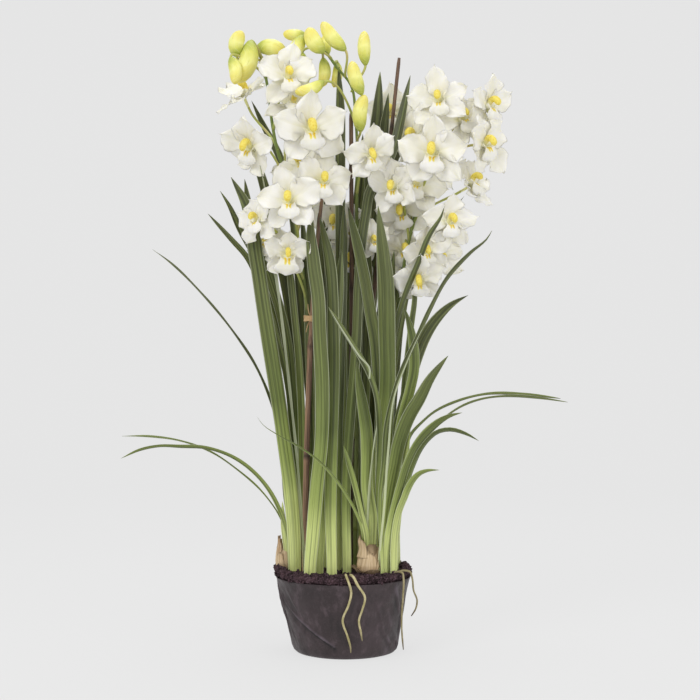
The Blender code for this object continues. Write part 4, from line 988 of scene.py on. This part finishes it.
def bud(build, foot, tip, radius, seed):
    """A plump blunt bud whose three outer sepals overlap along its seams."""
    rng = np.random.default_rng(seed + 40)
    bend = unit(np.cross(tip - foot, (0, 1, 0))) * radius * rng.uniform(0.15, 0.5)
    path = smooth_path([foot, (foot + tip) / 2 + bend, tip], 24)
    share = np.linspace(0, 1, 25)
    stations = [0, 0.06, 0.18, 0.34, 0.55, 0.75, 0.88, 0.96, 1]
    swell = np.interp(share, stations, [0.26, 0.50, 0.82, 1.0, 1.04, 0.92, 0.70, 0.42, 0.08])
    phase = rng.uniform(0, 6)

    def place_in_sepal(turn, along):
        return ((turn - phase - 0.6 * along) * 3 / (2 * math.pi)) % 1

    def shape(turn, along):
        overlap = 0.075 * (place_in_sepal(turn, along) - 0.5)
        return 1 + overlap * np.sin(np.clip(along, 0, 1) * math.pi) ** 0.5

    turn = np.linspace(0, 2 * math.pi, 36, endpoint=False)[None, :]
    seam = np.abs(place_in_sepal(turn, share[:, None]) - 0.5) * 2
    tube(build, path, radius * swell, 36, (0, 1, 0.01), shape, along=share[:, None], seam=seam**3)


# ---------------------------------------------------------------------------------------------------------
# Canes, tie, roots, bulbs, compost and pot
# ---------------------------------------------------------------------------------------------------------

# Each cane: its radius at the foot and at the top, its route, and where its nodes are.
CANES = {
    "cane_left": (3.8, 2.8, [(-64, -24), (-58, -24, 420), (-52, -22, 560), (-27, -14, 822)],
        (0.27, 0.52, 0.80)),
    "cane_centre": (4.2, 3.4, [(8, 20), (10, 14, 500), (9, 10, 860)], (0.3, 0.62, 0.88)),
    "cane_right": (3.6, 3.0, [(-8, 40), (38, 38, 500), (87, 34, 954)], (0.22, 0.5, 0.86)),
}
ROOTS = {
    "root_front_left": (1.9, [(1, -84, 132.4), (1, -104, 134.8), (2, -111.4, 133.2), (5, -113.8, 126),
        (9, -110.5, 110), (5, -106.5, 90), (-4, -102.4, 66), (3.5, -97.4, 40), (8, -93.6, 22),
        (8.5, -92, 14)]),
    "root_front_right": (1.9, [(7, -86, 132.4), (9.5, -104, 134.8), (12.5, -111, 133.2), (18.5, -113, 122),
        (30, -108.5, 102), (26, -103.5, 82), (21, -101, 66), (24, -97.5, 46), (26, -95, 33)]),
    "root_side_inner": (1.6, [(74, -62, 133), (84, -64, 134.4), (89.5, -69.2, 132.4), (90.2, -70, 127),
        (89.5, -70, 96), (88, -64, 70), (88, -59.6, 44), (90.5, -58, 12)]),
    "root_side_outer": (1.6, [(80, -54, 133), (94, -50, 134.4), (101.5, -47, 131.8), (104.4, -46, 124),
        (107, -44, 103), (113, -36, 84), (111, -33, 72), (104, -32, 60)]),
}
# Each bulb: its place, radius and height.
BULBS = {
    "bulb_front": (38, -50, 20, 46),
    "bulb_left": (-95, -4, 15, 42),
    "bulb_right": (73, -38, 7, 46),
}
# Each bulb's dry scales: the turn it faces, half its spread in radians, its foot and top above the
# compost, and its flare.
SCALES = {
    "bulb_front": [
        (-120, 1.15, -4, 44, 0.5), (-20, 1.2, -4, 46, 1.5), (110, 1.2, -4, 42, 1.0), (-82, 1.0, 3, 40, 1.0),
        (-150, 0.62, -4, 20, 8.0), (-140, 0.72, 26, 66, 3.5), (-40, 0.5, 2, 30, 2.0),
        (-80, 0.8, -5, 11, 5.0),
    ],
    "bulb_left": [
        (-90, 1.2, -4, 44, 1.0), (30, 1.2, -4, 40, 1.0), (150, 1.2, -4, 52, 1.0), (-150, 0.7, 0, 62, 1.5),
        (-120, 0.4, 4, 34, 3.0),
    ],
    "bulb_right": [(-90, 1.3, -4, 40, 0.5), (90, 1.3, -4, 44, 0.5), (0, 0.8, 0, 50, 2.0)],
}


def wobble(p, scale, seed):
    return noise.noise(Vector((p[0] * scale + seed, p[1] * scale - seed, p[2] * scale + 0.7 * seed)))


def canes(look):
    for name, (foot, top, route, nodes) in CANES.items():
        path = smooth_path(rooted(route, STEM_SINK), 90)
        share = np.linspace(0, 1, 91)
        girth = foot + (top - foot) * share
        ring = np.zeros(91)
        for at in nodes:
            girth = girth + 0.9 * np.exp(-(((share - at) / 0.007) ** 2))
            ring = ring + np.exp(-(((share - at - 0.006) / 0.006) ** 2))
        girth[-1] *= 0.8
        light = 0.0
        if name == "cane_left":
            # It is thicker below its tie, and it is painted lighter on one side and darker on the other:
            # painted light and shade.
            girth = girth + 1.3 * np.clip((508 - path[:, 2]) / 20, 0, 1)
            turn = np.linspace(0, 2 * math.pi, 14, endpoint=False)
            light = 0.5 + 0.5 * np.sin(turn)[None, :]
        build = Build("node", "light")
        tube(build, path, girth, 14, (0, 1, 0), node=np.clip(ring, 0, 1)[:, None], light=light)
        place(build.object("rod_" + name, look), name, slot="cane")


def roots(look):
    for k, (name, (radius, route)) in enumerate(ROOTS.items()):
        path = smooth_path(route, 70)
        share = np.linspace(0, 1, 71)
        lump = np.array([1 + 0.12 * wobble(p, 0.09, k) for p in path])
        girth = radius * np.interp(share, [0, 0.1, 0.9, 1], [1.0, 1.05, 0.85, 0.45]) * lump
        dark = np.interp(share, [0, 0.15, 0.85, 1], [0.35, 0.0, 0.1, 0.7]) + (0.45 if k > 1 else 0)
        build = Build("dark")
        tube(build, path, girth, 10, (1, 0, 0), dark=np.clip(dark, 0, 1)[:, None])
        place(build.object("strand_" + name, look), name, slot="root")


# Folds in the film: from (turn in degrees, height) to (turn, height), and how far it stands out there.
CREASES = [
    ((197, 98), (211, 76), 2.2),
    ((211, 76), (241, 40), 2.4),
    ((241, 40), (261, 20), 2.0),
    ((188, 112), (198, 72), 2.2),
    ((199, 60), (208, 20), 1.2),
    ((183, 104), (188, 50), 1.8),
    ((192, 70), (196, 20), 1.4),
    ((212, 106), (224, 74), 1.0),
    ((250, 114), (262, 70), 1.0),
    ((262, 70), (259, 22), 0.9),
    ((286, 112), (278, 60), 0.9),
    ((300, 96), (312, 40), 1.0),
    ((312, 40), (330, 12), 1.4),
    ((322, 108), (336, 66), 1.3),
    ((338, 21), (341, 3), -2.4),
    ((340, 80), (346, 20), 1.3),
    ((20, 108), (38, 30), 1.8),
    ((66, 110), (52, 40), 1.4),
    ((88, 100), (108, 14), 2.0),
    ((132, 112), (124, 50), 1.4),
    ((150, 90), (168, 16), 1.8),
]
# Folds with a groove along their lower side, which lies in the dark and is also painted dark: painted
# shade.
FOLD_LINES = [
    ((197, 98), (211, 76)),
    ((211, 76), (241, 40)),
    ((241, 40), (261, 20)),
    ((189, 96), (198, 52)),
    ((339, 22), (341, 6)),
    ((344, 20), (345, 8)),
]
CRUMBS = 1700
RIM_CRUMBS = 1000


def near_fold(degrees, z, first, second, radius):
    """For each turn at a height: how far along a fold it is, from 0 to 1, how far from it, and its side."""
    around = np.radians((degrees - first[0] + 180) % 360 - 180) * radius
    across = math.radians(second[0] - first[0]) * radius
    down = second[1] - first[1]
    along = np.clip((around * across + (z - first[1]) * down) / math.hypot(across, down) ** 2, 0, 1)
    apart = np.hypot(around - along * across, z - first[1] - along * down)
    side = np.sign(around * down - (z - first[1]) * across)
    return along, apart, side


def crease(degrees, z, first, second):
    """How strongly one fold raises the film at each turn, with the dip along its lower side."""
    along, apart, side = near_fold(degrees, z, first, second, 97)
    ridge = np.exp(-((apart / 2.6) ** 2))
    dip = np.exp(-(((apart - 5.5) / 4.5) ** 2)) * (0.45 + 0.35 * side)
    ends = np.minimum(1, 0.35 + 2.6 * np.minimum(along, 1 - along))
    return (ridge - dip) * ends


def fold_line(degrees, z, first, second):
    """A thin line along a fold, strongest in its middle."""
    _, apart, _ = near_fold(degrees, z, first, second, 95)
    return np.exp(-((apart / 1.6) ** 2))


def lean_left(z):
    """How far the film, and the compost in it, sag to the left at a height."""
    return -3.6 * float(np.clip(z / 85, 0, 1)) ** 1.5


def ring_noise(turn, scale, level):
    """Smooth noise on a ring. The larger the scale, the more bumps it has."""
    return np.array([noise.noise(Vector((math.cos(a) * scale, math.sin(a) * scale, level))) for a in turn])


def pot(look):
    """A soft film pot: turned, then pushed out and in where the film folds, with painted highlights on the
    raised folds and down its right side, and painted shade in the dips and along the grooves.
    """
    rings = [(60, 0.0), (74, 0.0), (79, 1.4), (83, 5), (85.6, 11), (87, 19)]
    rings += [(86 + (107 - 86) * (z - 14) / 106, z) for z in np.linspace(22, 117, 64)]
    rings += [(107.3, 119.4), (106.6, 120.0), (105.6, 119.4), (105.0, 116), (104.0, 112)]
    turn = np.linspace(0, 2 * math.pi, 360, endpoint=False)
    degrees = np.degrees(turn)
    points, bloom, fold = [], [], []
    for r, z in rings:
        weight = min(1, z / 14) * min(1, max(0, (122 - z) / 10))
        mid = ring_noise(turn, 5.5, z / 26 + 4)
        depth = 1.5 * ring_noise(turn, 1.7, z / 80) + 0.7 * mid - 0.6
        for first, second, height in CREASES:
            depth = depth + height * crease(degrees, z, first, second)
        groove = np.zeros(len(turn))
        for first, second in FOLD_LINES:
            groove = np.maximum(groove, fold_line(degrees, z + 3.0, first, second))
        radius = r + (depth - 1.6 * groove) * weight + 0.9 * z / 120
        points.append(joined(radius * np.cos(turn) + lean_left(z), radius * np.sin(turn), z))
        # A band of painted highlight down the right side, added to the painted highlight on the raised
        # folds.
        band = 0.95 * np.exp(-(((degrees - 322 + 2.5 * math.sin(z / 9)) / 6.5) ** 2)) * (0.7 + 0.5 * mid)
        bloom.append(np.clip(0.5 * depth - 0.2 + band, 0, 1) * weight * 0.6)
        # fold: painted shade in the dips and along the grooves.
        fold.append(np.maximum(np.clip(-0.42 * depth - 0.35, 0, 0.9) * weight, groove))
    build = Build("bloom", "fold")
    build.rings(np.array(points), bloom=bloom, fold=fold)
    place(build.object("film_pot", look), "pot", slot="pot")


def heap(x, y):
    """How high the compost is heaped against the left and the right of the rim."""
    left = 8.5 * math.exp(-(((x + 103) / 12) ** 2) - (y / 34) ** 2)
    right = 7.0 * math.exp(-(((x - 94) / 12) ** 2) - (y / 30) ** 2)
    return left + right


def compost(look):
    """A rough mound with crumbs heaped on it and along the rim."""
    rng = random.Random(5)
    turn = np.linspace(0, 2 * math.pi, 160, endpoint=False)
    rings = [(20, 112), (100, 112), (103, 117)]
    rings += [(105.5, 121.5), (107.5, 123), (108.6, 126), (107, 129.5), (104, 131), (98, 130.5)]
    rings += [(r, 129.5) for r in (92, 84, 76, 66, 56, 44, 32, 20, 10, 3)]
    points = np.empty((len(rings), len(turn), 3))
    shift = lean_left(120)
    for i, (r, z) in enumerate(rings):
        for k, a in enumerate(turn):
            p = Vector((r * math.cos(a), r * math.sin(a), z))
            n = noise.noise(p * 0.06) * 2.0 + noise.noise(p * 0.22) * 1.3
            edge = 1.0 if r > 100 and z > 118 else 0.0
            out = 1 + edge * (0.012 * n - 0.012 * max(0.0, math.cos(a)))
            rise = n * 0.8 + heap(p.x, p.y) * min(1, (z - 118) / 11) if z > 118 else 0
            points[i, k] = (p.x * out + shift, p.y * out, z + rise)
    build = Build()
    build.rings(points)
    rock = bmesh.new()
    bmesh.ops.create_icosphere(rock, subdivisions=2, radius=1)
    rock_points = np.array([v.co for v in rock.verts])
    rock_faces = [[v.index for v in f.verts] for f in rock.faces]
    rock.free()
    for n in range(CRUMBS):
        a = rng.uniform(0, 2 * math.pi)
        on_rim = n < RIM_CRUMBS
        r = rng.uniform(97, 108.5) if on_rim else 98 * math.sqrt(rng.random())
        size = rng.uniform(1.6, 5.0) if on_rim else rng.uniform(1.2, 4.0)
        top = 130.5 - max(0, (r - 103)) * 0.9 if on_rim else 129.6
        z = top + rng.uniform(-0.4, 1.2) * size * 0.45
        if on_rim and rng.random() < 0.32:
            z = rng.uniform(120.5, 129)
            r = rng.uniform(106.5, 109.5)
            size *= 0.7
        r = r * (1 - 0.012 * max(0.0, math.cos(a)))
        z = z + heap(r * math.cos(a), r * math.sin(a)) * min(1, (z - 118) / 11)
        axis = Vector((rng.random(), rng.random(), rng.random() + 0.1)).normalized()
        spin = np.array(Matrix.Rotation(rng.uniform(0, 6.28), 3, axis))
        origin = Vector((rng.uniform(0, 99), 0, 0))
        scale = np.array((1.0, rng.uniform(0.5, 1.0), rng.uniform(0.35, 0.85)))
        bumps = np.array([1 + 0.55 * noise.noise(Vector(p) * 1.6 + origin) for p in rock_points])
        centre = np.array((r * math.cos(a) + shift, r * math.sin(a), z))
        build.add((rock_points * scale * bumps[:, None] * size) @ spin.T + centre, rock_faces)
    place(build.object("bark_compost", look), "compost", slot="compost")


def torn(v, teeth, seed):
    """A jagged edge: straight runs between uneven points, from 0 to 1."""
    rng = np.random.default_rng(seed)
    marks = np.sort(rng.uniform(-1, 1, teeth))
    marks[0], marks[-1] = -1, 1
    return np.interp(v, marks, rng.uniform(0, 1, teeth))


def dry_scale(build, bulb, seed, n, turn, wide, foot, top, flare):
    """The n-th papery scale of a bulb, with a torn top and a crumpled face."""
    x, y, radius, height = bulb
    u, v = patch(19, 29)
    edge = top - (top - foot) * (0.30 * torn(v, 8, seed + n) + 0.16 * v**2)
    level = foot + (edge - foot) * u
    stations = [-8, 0, height * 0.3, height * 0.6, height * 0.85, height * 1.4]
    shell = radius * np.interp(level, stations, [0.6, 0.86, 1.0, 0.88, 0.72, 0.62])
    crumple = 0.5 * np.sin(v * 9 + n + 2 * u) + 0.4 * (torn(v, 12, seed + n + 5) - 0.5) * 2
    shell = shell + 0.5 + 0.35 * n + flare * u**2.5 + crumple * (0.3 + 0.7 * u)
    angle = math.radians(turn) + v * wide * (1 - 0.30 * u)
    middle = joined(x + shell * np.cos(angle), y + shell * np.sin(angle), SOIL_TOP + level)
    uv = joined(v * radius * wide * MM + n, level * MM)
    low = np.clip(1 - (level - 1) / 8, 0, 1) + 0.6 * np.clip((u - 0.88) * 8, 0, 1)
    low = np.clip(low + 0.35 * np.clip((np.abs(v) - 0.9) * 10, 0, 1), 0, 1)
    closed_sheet(build, middle, -normals(middle), 0.4, uv, low=low)


def ribs(turn, share):
    return 1 + 0.04 * np.sin(turn * 7 + share * 4)


def bulbs(look):
    """Pseudobulbs wrapped in dry overlapping papery scales with torn tops."""
    for k, (name, bulb) in enumerate(BULBS.items()):
        x, y, radius, height = bulb
        build = Build("low")
        z = np.linspace(-8, height, 22)
        stations = [-8, 0, height * 0.3, height * 0.6, height * 0.85, height]
        body = radius * np.interp(z, stations, [0.6, 0.84, 0.97, 0.84, 0.64, 0.46])
        dark = np.interp(z, [-8, 2, 9, height * 0.7, height], [1, 0.9, 0.35, 0.2, 0.6])[:, None]
        tube(build, joined(x, y, SOIL_TOP + z), body, 28, (1, 0, 0), ribs, low=dark)
        for n, row in enumerate(SCALES[name]):
            dry_scale(build, bulb, 10 * k, n, *row)
        place(build.object("scales_" + name, look), name, slot="bulb_sheath")


def tie(look):
    """Raffia wound round the cane and the stem, with a knot and two loose ends."""
    build = Build()
    centre = np.array((-58.4, -17.2, 530.0))
    side = unit(np.array((7.0, -11.6, 0.0)))
    face = np.array((side[1], -side[0], 0))
    turn = np.linspace(0, 2 * math.pi, 49)
    for n in range(5):
        level = -4 + n * 2.0 + 0.8 * np.sin(turn + n)
        wide = 11.4 + 0.3 * math.sin(n * 2.1)
        deep = 5.0 + 0.3 * math.cos(n * 1.7)
        path = centre + side * (np.cos(turn) * wide)[:, None] + face * (np.sin(turn) * deep)[:, None]
        tube(build, path + joined(0, 0, level), np.full(49, 1.15), 8, (0, 0, 1))
    knot = centre + face * -5.6
    for reach in ((-6, -5, 23), (-9, -6, -22), (4, -6, -12)):
        path = smooth_path([knot, knot + np.array(reach) * 0.45 + (-2, -1, 0), knot + np.array(reach)], 16)
        tube(build, path, np.linspace(1.2, 0.5, 17), 6, (1, 0, 0))
    place(build.object("raffia_knot", look), "raffia_tie", slot="raffia")


camera()
studio()
green = leaf_look()
for order, (name, row) in enumerate({**LEAVES, **MORE_LEAVES}.items()):
    nodes = [name] if name in LEAVES else []
    place(leaf(name, *row, green, order + 3), *nodes, slot="leaf")
white = petal_look()
for order, (name, (_, _, *row)) in enumerate({**FLOWERS, **MORE_FLOWERS}.items()):
    nodes = [name] if name in FLOWERS else []
    place(flower(name, *row, white, order + 11), *nodes, slot="petal")
spikes(stem_look(), bud_look())
canes(cane_look())
roots(root_look())
tie(raffia_look())
bulbs(sheath_look())
compost(compost_look())
pot(pot_look())
